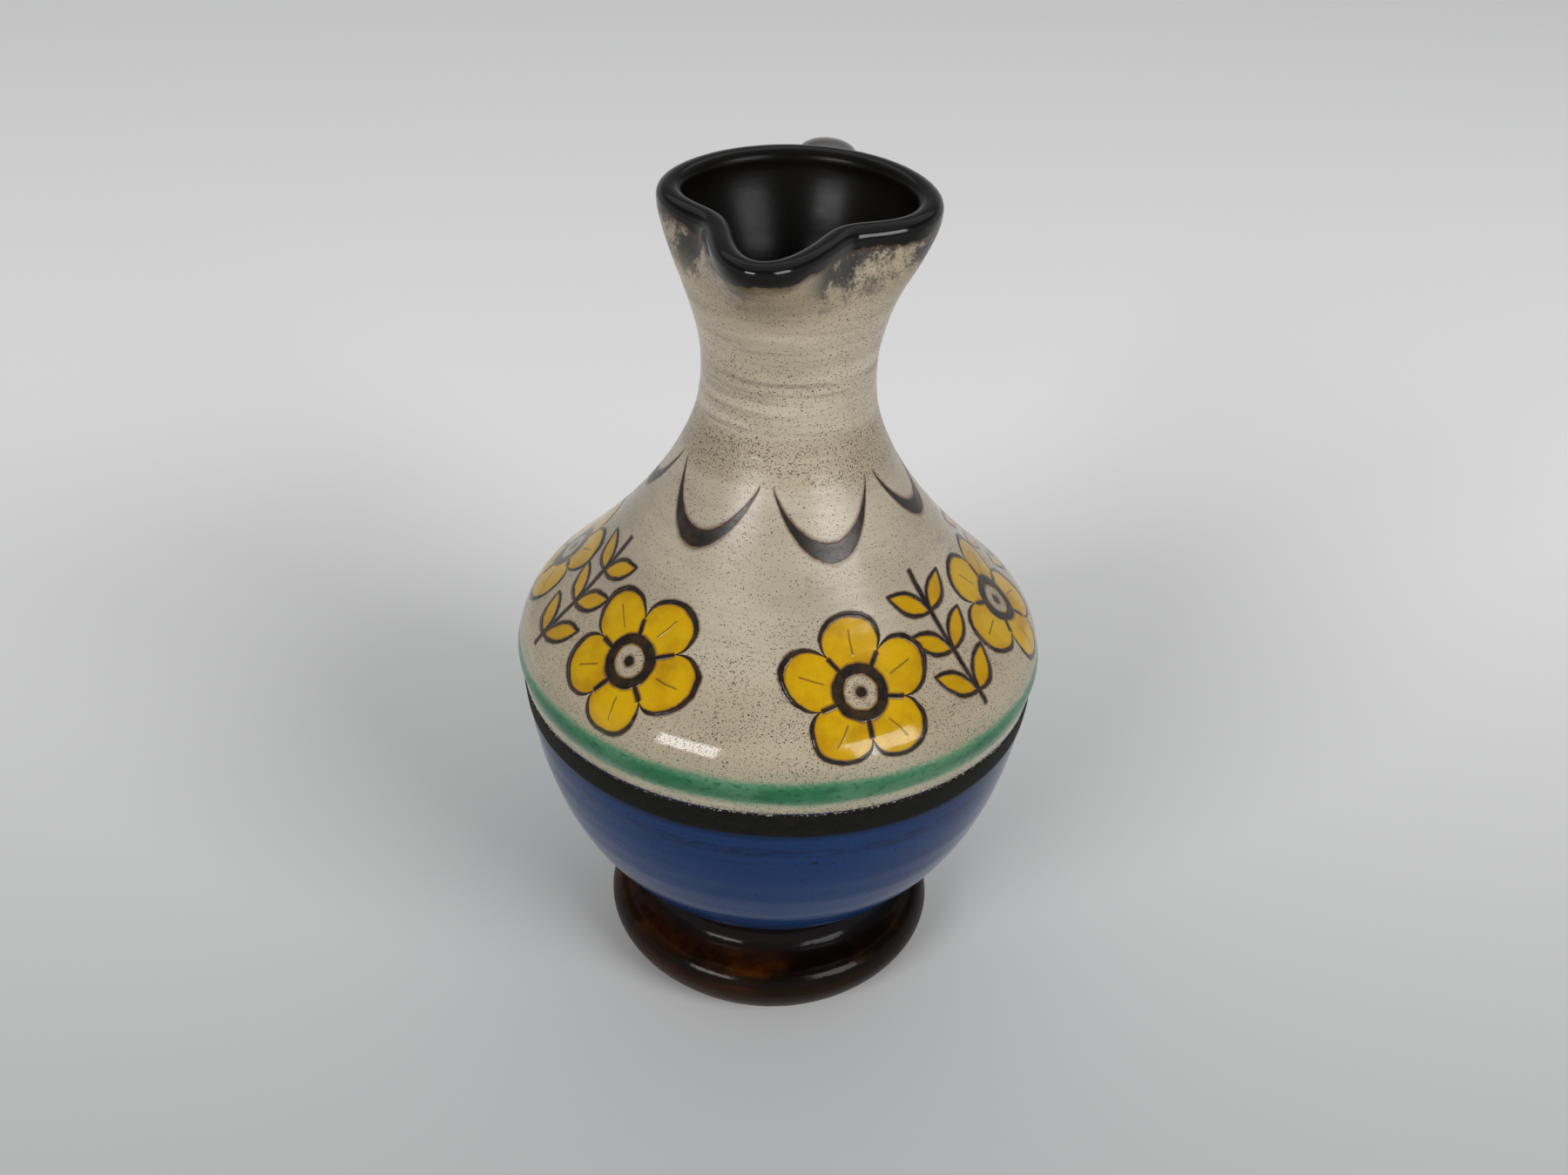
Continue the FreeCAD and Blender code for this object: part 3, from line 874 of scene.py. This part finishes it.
# %% [markdown]
# ## Cream glaze
# The cream slip under the clear glaze is brushed on while the jug turns, so it has level
# streaks, greyer where it is thin. Iron in the clay comes through as fine dark pits, which
# crowd where the clay was worked most: at the collar and low on the shoulder. Each of these
# is one coat over the last, so a coat can be taken off without touching the others.

# %% Cream colours and pits
cream_light = (0.50, 0.432, 0.325)
cream_dull = (0.40, 0.343, 0.252)
cream_grey = (0.17, 0.15, 0.12)
cream_warm = (0.35, 0.275, 0.175)
cream_highlight = (0.60, 0.53, 0.41)
pit_colour = (0.020, 0.016, 0.013)


def iron_pits(glaze, more):
    """Fine pits and a coarser dust round them, with more of both where more is high."""
    dense = (glaze.noise(7, 3, 2, 5) - 0.5) * 0.16 + more
    pits = glaze.ramp(glaze.noise(0.30, 1.1, 1, 6), 0.650 - dense, 0.69 - dense)
    dust = glaze.ramp(glaze.noise(0.8, 2.0, 4, 7, 0.7), 0.60 - dense, 0.80 - dense)
    return pits, dust


print("cream goes from", cream_light, "to", cream_grey)


# %% Cream ground
def cream_ground(glaze):
    """The cream colour with its streaks, pits and painted ring highlights, and the pits alone."""
    neck = glaze.ramp(glaze.z, collar_z - 14, collar_z + 2)
    flank_part = glaze.band(glaze.z, belly_z + 4, collar_z + 1, 8)
    belt = glaze.band(glaze.z, belly_z + 7, belly_z + 20, 6)
    collar_ring = glaze.band(glaze.z, collar_z - 5, collar_z + 1, 3)
    under_lip = glaze.ramp(glaze.z, throat_z - 6, throat_z + 9)
    cloud = glaze.noise(16, 1.6, 3, 1)
    wash = glaze.ramp(glaze.noise(4.5, 9, 3, 2), 0.46, 0.72)
    streak = glaze.ramp(glaze.noise(1.5, 18, 4, 3, 0.6), 0.50, 0.72)
    hair = glaze.ramp(glaze.noise(0.35, 40, 2, 4), 0.45, 0.8)
    painted_ring_highlight = glaze.ramp(glaze.noise(2.0, 24, 2, 8), 0.50, 0.70)
    warm = glaze.either(collar_ring * 0.6, belt * 0.6, under_lip * 0.8)
    pits, dust = iron_pits(glaze, collar_ring * 0.045 + belt * 0.035 + neck * 0.022)
    colour = glaze.coats(
        cream_light,
        (glaze.ramp(cloud, 0.3, 0.7), cream_dull),
        (wash * (0.12 + neck * 0.26), cream_grey),
        (streak * (0.14 + neck * 0.30), cream_grey),
        (hair * 0.14, cream_grey),
        (flank_part * (0.08 + cloud * 0.14), cream_grey),
        # Paler level rings on the neck are painted highlights: the lit side of the throwing rings.
        (painted_ring_highlight * neck * 0.45, cream_highlight),
        (warm * (0.35 + cloud * 0.9), cream_warm),
        (dust * 0.50, cream_grey),
        (pits * 0.8, pit_colour),
    )
    return colour, pits


print("neck and shoulder meet at", round(collar_z, 1), "mm")

# %% [markdown]
# ## Touch of the cream
# Under a fingertip the neck has fine level rings and the keel is smooth. The clear glaze is
# glossy on the keel, and softer in level streaks on the flank and the neck, where the brushed
# slip shows through it.

# %% Relief and sheen of the cream
cream_gloss, cream_ior = 0.10, 1.40


def fine_relief(glaze, pits):
    """Level throwing lines, a faint orange-peel and the pits."""
    upper = glaze.ramp(glaze.z, collar_z - 12, collar_z + 4)
    rings_up = glaze.noise(1.9, 30, 2, 21) * (0.05 + upper * 0.16)
    peel = glaze.noise(2.2, 1.4, 2, 22) * 0.035
    return rings_up + peel - pits * 0.03


def cream_sheen(glaze):
    """The roughness: low on the keel, and higher in streaks above it."""
    upper = glaze.ramp(glaze.z, belly_z + 18, collar_z - 12)
    streaks = glaze.noise(1.3, 20, 3, 29)
    return cream_gloss + upper * (0.10 + streaks * 0.22)


def neck_material():
    """The cream alone."""
    glaze = Glaze("cream_plain")
    ground, pits = cream_ground(glaze)
    return glaze.finish(ground, cream_sheen(glaze), fine_relief(glaze, pits), IOR=cream_ior)


neck_rows = outer_row(throat_z) - outer_row(collar_z) + 1
dress("neck_thrown", neck_material(), liner, neck_rows)

# %% [markdown]
# ## Painted garland
# The shoulder is decorated with a generic garland in yellow glaze and dark brown line: a
# five-petalled flower every sixty degrees, sprigs between them and a swag above each. An
# image could be wrapped round the jug, but a formula stays sharp at any size. Each motif is
# drawn once, in a small flat map of its own: across is the arc length from its middle, and up
# is the way along the slanted flank. A modulo folds the map round the jug.

# %% Brush
yellow = (0.55, 0.325, 0.001)
yellow_deep = (0.40, 0.205, 0.001)
line_black = (0.012, 0.009, 0.007)
line_brown = (0.11, 0.042, 0.016)
brush_soft = 0.12


def stroke(glaze, distance, half, halo=0.55):
    """A line laid with the brush: 1 within half its width, and a wider one for its brown halo."""
    far = abs(distance)
    core = glaze.ramp(far, half + brush_soft, half - brush_soft)
    return core, glaze.ramp(far, half + halo, half)


def arc(glaze, degrees):
    """The arc length of some degrees round the jug, in millimetres."""
    return degrees * (TURN / 360) * glaze.radius


print("a line has a halo in", line_brown)

# %% [markdown]
# ## Flower
# Each flower is outlined in dark brown and filled with yellow, which pools deeper at the
# edge. Dark folds part the petals, a fine vein runs out each of them, and the hub is a ring
# with a seed in it. All are distances to circles and to one five-lobed curve.

# %% Flower
flower_size = 15.5
petal_waist = 0.56
hub_radius, eye_radius = 4.6, 3.5


def flower(glaze, across, up, shake, turn):
    """A flower on a map in millimetres from its middle. In the direction a its edge is at
    size * (waist + (1 - waist) * |cos 2.5a| ^ 0.55), which gives five round petals. It
    returns the fill, the eye, the glaze that pools at the edge, the lines and the halos."""
    reach = glaze.math("SQRT", squared(across) + squared(up)) + shake
    petal_turn = (glaze.math("ARCTAN2", across, up) + turn) * 2.5
    on_petal = abs(glaze.math("COSINE", petal_turn))
    off_petal = abs(glaze.math("SINE", petal_turn))
    lobe = glaze.math("POWER", on_petal, 0.55)
    edge = flower_size * (petal_waist + lobe * (1 - petal_waist))
    fold_on = glaze.band(reach, 5.5, flower_size * petal_waist, 0.4)
    vein_on = glaze.band(reach, 7.5, 12.0, 0.6)
    outline, outline_glow = stroke(glaze, reach - edge, 0.55)
    fold, fold_glow = stroke(glaze, on_petal * reach * 0.4, 0.42)
    hub, hub_glow = stroke(glaze, reach - hub_radius, 1.05, 0.7)
    seed, seed_glow = stroke(glaze, reach, 1.1, 0.8)
    vein = glaze.ramp(off_petal * reach * 0.4, 0.28, 0.12)
    fill = glaze.ramp(reach - edge, 0.15, -0.15)
    eye = glaze.ramp(reach, eye_radius, eye_radius - 0.3)
    pool = glaze.ramp(edge - reach, 3.0, 0.3)
    lines = glaze.either(outline, fold * fold_on, hub, seed, vein * vein_on * 0.6)
    halos = glaze.either(outline_glow, fold_glow * fold_on, hub_glow, seed_glow)
    return fill, eye, pool, lines, halos


print("a flower is", 2 * flower_size, "mm across")

# %% [markdown]
# ## Sprigs and swags
# A sprig is a straight stem with pointed leaves, which fills the room between two flowers.
# The map is folded along the stem, so each leaf is drawn once and shows on both sides. A
# swag is a hanging line that swells in its middle, as a loaded brush leaves it.

# %% Sprig
sprig_low, sprig_high = -11.0, 20.0
leaf_bases = (-8.0, 1.0, 10.0)
leaf_middle, leaf_half_length, leaf_half_width = 5.2, 4.9, 2.3
lean_up, lean_out = 0.62, 0.78


def sprig(glaze, side, rise, shake):
    """A stem with pairs of leaves that lean up and out. A leaf's half width is a parabola
    along it. It returns the leaves' fill, and the lines and halos of leaves and stem."""
    stem_on = glaze.band(rise, sprig_low, sprig_high, 0.5)
    stem, stem_glow = stroke(glaze, side + shake, 0.6)
    fills, lines, halos = [], [stem * stem_on], [stem_glow * stem_on]
    for base in leaf_bases:
        along = side * lean_out + (rise - base) * lean_up
        beside = (rise - base) * lean_out - side * lean_up
        width = leaf_half_width * (1 - squared((along - leaf_middle) / leaf_half_length))
        beyond = abs(beside) + shake - width
        line, glow = stroke(glaze, beyond, 0.42)
        on = glaze.band(along, 0.2, 10.4, 0.2)
        fills.append(glaze.ramp(beyond, 0.1, -0.1))
        lines.append(line * on)
        halos.append(glow * on)
    return glaze.either(*fills), glaze.either(*lines), glaze.either(*halos)


print("a sprig has", 2 * len(leaf_bases), "leaves")

# %% Swag
swag_z, swag_rise, swag_half = 117.0, 10.5, 26.0
swag_thick = 1.5


def swag(glaze, cell, waver, shake):
    """A hanging curve, thick in its middle: its height is a parabola of the degrees from
    its middle. It returns the line and its halo."""
    share = cell / swag_half
    middle = swag_z + share * share * swag_rise
    width = swag_thick * (1.12 - share * share)
    far = abs((glaze.z - middle) * 1.15 + waver * 0.6) + shake - width
    on = glaze.ramp(abs(cell), swag_half + 1.0, swag_half)
    return glaze.ramp(far, 0.3, -0.1) * on, glaze.ramp(far, 1.3, 0.0) * on


print("a swag hangs", swag_rise, "mm deep")

# %% [markdown]
# ## Laying out the garland
# The motifs are put in their places round the shoulder. The painter left the front and the
# back free of sprigs. Halos are painted first and lines last, as iron bleeds into a glaze.

# %% Garland
flower_z = 96.5
flower_step = 60.0
flank_slant = 1.42
sprigs_from, sprigs_to = 40.0, 140.0


def garland(glaze, ground):
    """The ground with the garland painted on it, where the paint is thick, and the lines.
    A slow waver and a quick shake of the hand move all of it a little."""
    waver = (glaze.noise(9, 1, 2, 11) - 0.5) * 1.8
    shake = (glaze.noise(1.3, 1, 1, 12) - 0.5) * 0.35
    half_step = flower_step / 2
    cell = glaze.math("FLOORED_MODULO", glaze.degrees, flower_step) - half_step
    number = glaze.math("FLOOR", glaze.degrees / flower_step)
    up = (glaze.z - flower_z) * flank_slant
    across = arc(glaze, cell) + waver
    petals, eye, pool, lines, halos = flower(glaze, across, up + waver * 0.7, shake, number * 1.7)

    between = abs(glaze.math("FLOORED_MODULO", glaze.degrees + half_step, flower_step) - half_step)
    side = arc(glaze, between) + waver * 0.4
    sprigs_on = glaze.band(abs(glaze.degrees), sprigs_from, sprigs_to, 2.0)
    leaves, sprig_lines, sprig_halos = sprig(glaze, side, up + waver, shake)
    leaves = leaves * sprigs_on
    swag_line, swag_halo = swag(glaze, cell, waver, shake)
    lines = glaze.either(lines, sprig_lines * sprigs_on, swag_line)
    halos = glaze.either(halos, sprig_halos * sprigs_on, swag_halo)

    tone = glaze.ramp(glaze.noise(7, 1, 3, 13), 0.4, 0.75)
    paint = glaze.coats(yellow, (tone, yellow_deep), (pool * 0.45, yellow_deep))
    colour = glaze.coats(
        ground,
        (petals, paint),
        (leaves, paint),
        (eye, ground),
        (halos * (0.55 + glaze.noise(4, 1, 2, 14) * 0.5), line_brown),
        (lines * (0.70 + glaze.noise(2.5, 1, 2, 15) * 0.5), line_black),
    )
    return colour, glaze.either(petals, leaves), lines


print("flowers stand", round(float(TURN / 6 * radius_at(flower_z)), 1), "mm apart")

# %% [markdown]
# ## Green over cream
# The green line was brushed over the cream. It is strong in its middle and pools there,
# thins out to a pale green beside it, and ends in an uneven, grainy edge. The same function
# colours the raised bead and the shoulder beside it, so no step shows between the two.

# %% Green line on the cream
green_deep = (0.016, 0.118, 0.048)
green_pale = (0.085, 0.21, 0.115)
green_pool = (0.008, 0.055, 0.028)
bead_gloss, bead_ior = 0.16, 1.4


def green_over(glaze, ground):
    """The ground with the green line over it, by the distance from the line's middle."""
    ragged = (glaze.noise(6, 3, 2, 25) - 0.5) * 1.6 + (glaze.noise(0.6, 1.6, 3, 26) - 0.5) * 1.5
    away = abs(glaze.z - (line_low + line_high) / 2) + ragged
    patchy = glaze.ramp(glaze.noise(9, 2, 3, 27), 0.35, 0.62)
    pool = glaze.ramp(glaze.noise(5, 3, 3, 66), 0.50, 0.66) * glaze.ramp(away, 1.5, 0.3)
    spots = glaze.ramp(glaze.noise(1.0, 1.5, 3, 28), 0.54, 0.68) * glaze.ramp(away, 2.4, 1.6)
    return glaze.coats(
        ground,
        (glaze.ramp(away, 7.0, 3.0) * 0.18, green_pale),
        (glaze.ramp(away, 3.5, 1.9), green_pale),
        (glaze.ramp(away, 2.7, 0.9) * (0.35 + patchy * 0.65), green_deep),
        (glaze.either(spots * 0.6, pool * 0.55), green_pool),
    )


def bead_material():
    """The green over a cream ground."""
    glaze = Glaze("green_glaze")
    colour = green_over(glaze, cream_ground(glaze)[0])
    relief = glaze.noise(1.8, 3, 2, 65) * 0.08
    return glaze.finish(colour, bead_gloss, relief, IOR=bead_ior)


dress("line_bead", bead_material())

# %% [markdown]
# ## Shoulder
# The shoulder has the cream ground, the garland, and green and black that bled a little from
# the two lines beside it. The paint stands up a tenth of a millimetre, which is too thin
# for faces, so it is left to the bump.

# %% Shoulder
slip_black = (0.006, 0.006, 0.005)


def shoulder_material():
    """Cream, then the garland, the green, and black dots that thin out upwards."""
    glaze = Glaze("cream_painted")
    ground, pits = cream_ground(glaze)
    colour, thick, lines = garland(glaze, ground)
    dots = glaze.noise(0.30, 1.3, 3, 24, 0.6) - (glaze.z - belly_z) * 0.20
    bled = glaze.ramp(dots, 0.36, 0.56) * 0.65
    colour = glaze.mix(bled, green_over(glaze, colour), slip_black)
    relief = fine_relief(glaze, pits) + thick * 0.10 + lines * 0.06
    return glaze.finish(colour, cream_sheen(glaze), relief, IOR=cream_ior)


shoulder_rows = outer_row(collar_z) - outer_row(belly_z) + 1
dress("shoulder_thrown", shoulder_material(), liner, shoulder_rows)

# %% [markdown]
# ## Mouth
# The dark liner glaze fills the inside, comes over the lip and stops in an uneven edge. Below
# it the cream is smudged where dark glaze was wiped off. The edge follows the lip, which
# drops towards the spout, so it is measured down from the lip's own height.

# %% Mouth
liner_olive = (0.070, 0.050, 0.018)
smudge_colour = (0.018, 0.018, 0.019)
liner_reach = 3.1
lip_gloss, lip_ior = 0.12, 1.36


def mouth_material():
    """Cream, then the smudges, the brown rim and the dark glaze over the lip."""
    glaze = Glaze("liner_over_cream")
    ground, pits = cream_ground(glaze)
    lip_z = crest_z - (back_y - glaze.y) * (lip_fall / (back_y - front_y))
    below = lip_z - glaze.z
    uneven = (glaze.noise(9, 1, 2, 31) - 0.5) * 3.6 + (glaze.noise(1.4, 1, 2, 32) - 0.5) * 1.0
    drip = glaze.ramp(abs(glaze.degrees - spout_turn), 22.0, 6.0) * 0.9
    liner_edge = liner_reach + uneven + drip
    over_lip = glaze.ramp(below, liner_edge + 0.25, liner_edge - 0.25)
    brown_rim = glaze.ramp(below, liner_edge + 1.1 + drip * 2.6, liner_edge)
    patch = glaze.noise(7, 1.2, 4, 33, 0.65)
    grains = (glaze.noise(0.7, 1, 5, 34, 0.8) - 0.5) * 0.60
    near_lip = glaze.ramp(below, 17.0, 6.0)
    wiped = near_lip * glaze.band(abs(glaze.degrees - 8), 18.0, 120.0, 14.0)
    veil = glaze.ramp(patch + near_lip * 0.22, 0.46, 0.72) * wiped
    smudge = glaze.ramp(patch + near_lip * 0.24 + grains, 0.60, 0.76) * wiped
    colour = glaze.coats(
        ground,
        (veil * 0.40, cream_grey),
        (smudge * 0.92, smudge_colour),
        (brown_rim * 0.8, glaze.mix(drip, liner_brown, liner_olive)),
        (over_lip, liner_black),
    )
    relief = fine_relief(glaze, pits) * (1 - over_lip) + over_lip * 0.12
    gloss = cream_sheen(glaze) * (1 - over_lip) + over_lip * lip_gloss
    return glaze.finish(colour, gloss, relief, IOR=lip_ior)


past_crest = 4
dress("mouth_pinched", mouth_material(), liner, mouth_count // 2 + past_crest)

# %% [markdown]
# ## Blue glaze
# The blue is deep and even. It is darker in a broken streak below the slip band, where the
# brush started, and under two drops of slip. Where it runs into the waist it is painted near
# black: the glaze's dark lower edge, with painted shade under the bowl. Its index of refraction
# is kept low, because a full mirror would wash out the deep colour.

# %% Blue colours and drops
blue_body = (0.005, 0.026, 0.098)
blue_light = (0.009, 0.039, 0.124)
blue_dark = (0.003, 0.008, 0.022)
blue_speck = (0.006, 0.008, 0.014)
blue_waist_shade = (0.005, 0.006, 0.012)
blue_gloss, blue_ior = 0.14, 1.25
slip_drops = [(17.1, -50.2, 61.5, 1.0), (-35.3, -37.9, 56.3, 1.1)]


def slip_drop(glaze, x, y, z, size):
    """A drop of slip: 1 within half its size of a place, and 0 beyond its size."""
    across = squared(glaze.x - x) + squared(glaze.y - y)
    distance = glaze.math("SQRT", across + squared(glaze.z - z) * 2.0)
    return glaze.ramp(distance, size, size * 0.5)


print("drops of slip:", len(slip_drops))


# %% Blue
def blue_material():
    """Blue in clouds, darkened by streaks, drops, grain and specks, with painted shade at the waist."""
    glaze = Glaze("blue_glaze")
    cloud = glaze.ramp(glaze.noise(14, 3, 3, 51), 0.35, 0.7)
    streak = glaze.ramp(glaze.noise(1.4, 20, 3, 52), 0.55, 0.75)
    broken = glaze.ramp(glaze.noise(1.1, 3.0, 4, 53, 0.7), 0.36, 0.66)
    start_z = band_low - 5.0 + (glaze.noise(30, 1, 1, 54) - 0.5) * 3
    brush_start = glaze.band(glaze.z, start_z - 0.9, start_z + 0.7, 1.0) * broken
    drops = [(slip_drop(glaze, *drop) * 0.9, blue_dark) for drop in slip_drops]
    under_band = glaze.ramp(glaze.z, band_low - 1.6, band_low - 0.2)
    grain = glaze.ramp(glaze.noise(0.8, 1.6, 4, 59, 0.8), 0.50, 0.70)
    specks = glaze.ramp(glaze.noise(0.7, 1.2, 1, 55), 0.70, 0.75)
    uneven_z = glaze.z + (glaze.noise(9, 1, 2, 56) - 0.5) * 3
    colour = glaze.coats(
        blue_body,
        (cloud, blue_light),
        (streak * 0.35, blue_dark),
        (brush_start * 0.6, blue_dark),
        *drops,
        (under_band * 0.6, blue_dark),
        (grain * 0.38, blue_dark),
        (specks * 0.8, blue_speck),
        # Near black at the waist: the glaze's dark edge, with painted shade under the bowl over it.
        (glaze.ramp(uneven_z, waist_z + 4.5, waist_z + 1.5) * 0.85, blue_waist_shade),
    )
    relief = glaze.noise(2.0, 8, 2, 57) * 0.05 + glaze.noise(1.6, 1, 2, 58) * 0.02
    return glaze.finish(colour, blue_gloss, relief, IOR=blue_ior)


bowl_rows = len(under) + bowl_out.stop - bowl_out.start
dress("bowl_thrown", blue_material(), liner, bowl_rows)

# %% [markdown]
# ## Slip band
# The slip band is bare and matt, so it gets a high roughness. Along its upper edge the slip
# is worn, and the cream under it shows in small flecks.

# %% Slip band
slip_worn = (0.011, 0.010, 0.008)
slip_gloss, slip_ior = 0.5, 1.18


def band_material():
    """Black slip with a grain and a rubbed edge."""
    glaze = Glaze("black_slip")
    grain = glaze.noise(0.8, 2.0, 3, 61)
    near_top = glaze.ramp(glaze.z, band_high - 0.9, band_high)
    wear_and_sheen = glaze.ramp(glaze.noise(0.45, 1.5, 2, 62) + near_top * 0.12, 0.62, 0.74) * near_top
    colour = glaze.coats(slip_black, (glaze.ramp(grain, 0.45, 0.7), slip_worn), (wear_and_sheen, cream_dull))
    return glaze.finish(colour, slip_gloss + grain * 0.2, grain * 0.05, IOR=slip_ior)


dress("band_slip", band_material())

# %% [markdown]
# ## Foot glaze
# An iron glaze, like the liner but thinner: red-brown where it runs thin over the roll, and
# almost black where it pools and on one side, where it is thicker. Towards the ring that
# meets the table it is duller.

# %% Foot
foot_amber = (0.056, 0.0145, 0.001)
foot_dark = (0.0035, 0.0013, 0.0006)
foot_dull = (0.013, 0.0042, 0.0008)
foot_waist_shade = (0.004, 0.0045, 0.0055)
foot_pool = (0.004, 0.003, 0.002)
foot_gloss, foot_ior = 0.12, 1.20
side_top = 11.6
thick_side = (0.9877, 0.1564)


def foot_material():
    """Dark iron glaze with amber where it is thin, duller on the foot's side, and the blue glaze's edge at
    the waist painted near black as shade.
    """
    glaze = Glaze("foot_glaze")
    cloud = glaze.noise(9, 2.0, 4, 71, 0.6)
    thicker = glaze.ramp(glaze.x * thick_side[0] + glaze.y * thick_side[1], -24.0, 24.0)
    thin = glaze.ramp(cloud - thicker * 0.20, 0.30, 0.62)
    grain = glaze.ramp(glaze.noise(0.9, 3, 4, 72, 0.7), 0.40, 0.70)
    uneven_z = glaze.z + (glaze.noise(12, 1, 2, 73) - 0.5) * 1.6
    side = glaze.ramp(uneven_z, side_top + 0.6, side_top - 0.8)
    pool = glaze.band(uneven_z, side_top - 0.4, side_top + 0.9, 0.8)
    streaks = 0.5 + glaze.ramp(glaze.noise(0.8, 14, 3, 75), 0.35, 0.65) * 0.5
    colour = glaze.coats(
        foot_dark,
        (thin * 0.85, foot_amber),
        (grain * 0.35, foot_dark),
        # The blue glaze runs onto the foot here, painted almost black: painted shade under the bowl.
        (glaze.ramp(glaze.z, 14.2, 16.3) * 0.9, foot_waist_shade),
        (side * streaks * 0.8, foot_dull),
        (pool * 0.8, foot_pool),
    )
    relief = glaze.noise(2.2, 6, 2, 74) * 0.10 + glaze.noise(1.2, 1.5, 3, 76) * 0.05
    return glaze.finish(colour, foot_gloss + streaks * 0.05 + side * 0.22, relief, IOR=foot_ior)


dress("foot_turned", foot_material())

# %% [markdown]
# ## Floor
# The jug stands on a plain pale table. Its colour is painted darker near the camera and
# brighter away from it, a painted fall of light. One large flat square does, a hair below
# the foot, so that the two surfaces never fight.

# %% Floor
view_turn = math.radians(9.0)
floor_half, floor_drop = 6.0, 0.00005
paper_near_shade, paper_far_lit = (0.46, 0.462, 0.465), (0.96, 0.96, 0.95)
paper_gloss, paper_ior = 0.9, 1.3
corners = [(-1, -1), (1, -1), (1, 1), (-1, 1)]
floor_mesh = bpy.data.meshes.new("floor")
floor_points = [(x * floor_half, y * floor_half, -floor_drop) for x, y in corners]
floor_mesh.from_pydata(floor_points, [], [(0, 1, 2, 3)])
floor = bpy.data.objects.new("floor", floor_mesh)
bpy.context.scene.collection.objects.link(floor)
paper = Glaze("paper")
away = paper.y * math.cos(view_turn) - paper.x * math.sin(view_turn)
# The ramp from near to far is painted light and shade: darker near the camera, brighter away.
paper_colour = paper.mix(paper.ramp(away, -240.0, 300.0), paper_near_shade, paper_far_lit)
floor_mesh.materials.append(paper.finish(paper_colour, paper_gloss, IOR=paper_ior))

# %% [markdown]
# ## Light
# Daylight comes from two windows in front of the jug, one on each side, which show as two
# bright spots on every rounded form. A broad, weak skylight lifts the back. The room's walls
# are pale low down and its ceiling is dim, so the dark glazes stay dark where they look up.

# %% Windows
toward_camera = Vector((math.sin(view_turn), -math.cos(view_turn), 0))
to_the_right = Vector((math.cos(view_turn), math.sin(view_turn), 0))
aim = Vector((0, 0, 0.09))
window_distance = 2.4


def window(name, azimuth, elevation, half_wide, half_high, brightness):
    """A soft lamp in a direction from the jug, azimuth to the right of the camera. It
    covers so many degrees to each side, and its power is brightness * pi * area."""
    azimuth, elevation = math.radians(azimuth), math.radians(elevation)
    wide, high = (2 * window_distance * math.tan(math.radians(half)) for half in (half_wide, half_high))
    flat = toward_camera * math.cos(azimuth) + to_the_right * math.sin(azimuth)
    direction = flat * math.cos(elevation) + Vector((0, 0, math.sin(elevation)))
    lamp_data = bpy.data.lights.new(name, "AREA")
    lamp_data.shape = "RECTANGLE"
    lamp_data.size = wide
    lamp_data.size_y = high
    lamp_data.energy = brightness * math.pi * wide * high
    lamp = bpy.data.objects.new(name, lamp_data)
    lamp.location = aim + direction * window_distance
    lamp.rotation_mode = "QUATERNION"
    lamp.rotation_quaternion = direction.to_track_quat("Z", "Y")
    bpy.context.scene.collection.objects.link(lamp)
    print(name, "gives", round(lamp_data.energy, 2), "W")


lamps = {
    "left_window": {"azimuth": -36, "elevation": 25, "half_wide": 12, "half_high": 6.5, "brightness": 15.5},
    "right_window": {"azimuth": 48, "elevation": 29, "half_wide": 14, "half_high": 12, "brightness": 8.2},
    "skylight": {"azimuth": 180, "elevation": 76, "half_wide": 38, "half_high": 38, "brightness": 0.36},
}
for name, values in lamps.items():
    window(name, **values)

# %% Room
room_walls, room_ceiling = (0.50, 0.504, 0.508), (0.16, 0.164, 0.168)
walls_end, ceiling_start = 0.15, 0.50
world = bpy.data.worlds.new("room")
world.use_nodes = True
room = Palette(world.node_tree)
facing = room.node("ShaderNodeTexCoord").outputs["Generated"]
looking_up = room.node("ShaderNodeSeparateXYZ", Vector=facing).outputs["Z"]
room_colour = room.mix(room.ramp(looking_up, walls_end, ceiling_start), room_walls, room_ceiling)
room.feed(world.node_tree.nodes["Background"].inputs["Color"], room_colour)
bpy.context.scene.world = world
bpy.context.scene.view_settings.view_transform = "Standard"
print("the room goes from", room_walls, "to", room_ceiling)

# %% [markdown]
# ## Camera
# The photograph was taken by hand from above and in front, a little to the jug's side and
# with a slight roll. The camera stands where a fit of the jug's outline put it.

# %% Camera
pitch, roll = math.radians(32.17), math.radians(2.26)
camera_data = bpy.data.cameras.new("camera")
camera_data.sensor_width = 36.0
camera_data.lens = 38.0
camera_data.clip_start = 0.01
camera = bpy.data.objects.new("camera", camera_data)
camera.location = Vector((47.6, -295.7, 280.9)) * MM
look = -toward_camera * math.cos(pitch) - Vector((0, 0, math.sin(pitch)))
camera.rotation_mode = "QUATERNION"
camera.rotation_quaternion = look.to_track_quat("-Z", "Y") @ Quaternion((0, 0, 1), roll)
bpy.context.scene.collection.objects.link(camera)
bpy.context.scene.camera = camera
print("camera is", round(camera.location.length, 3), "m from the foot's middle")

# %% [markdown]
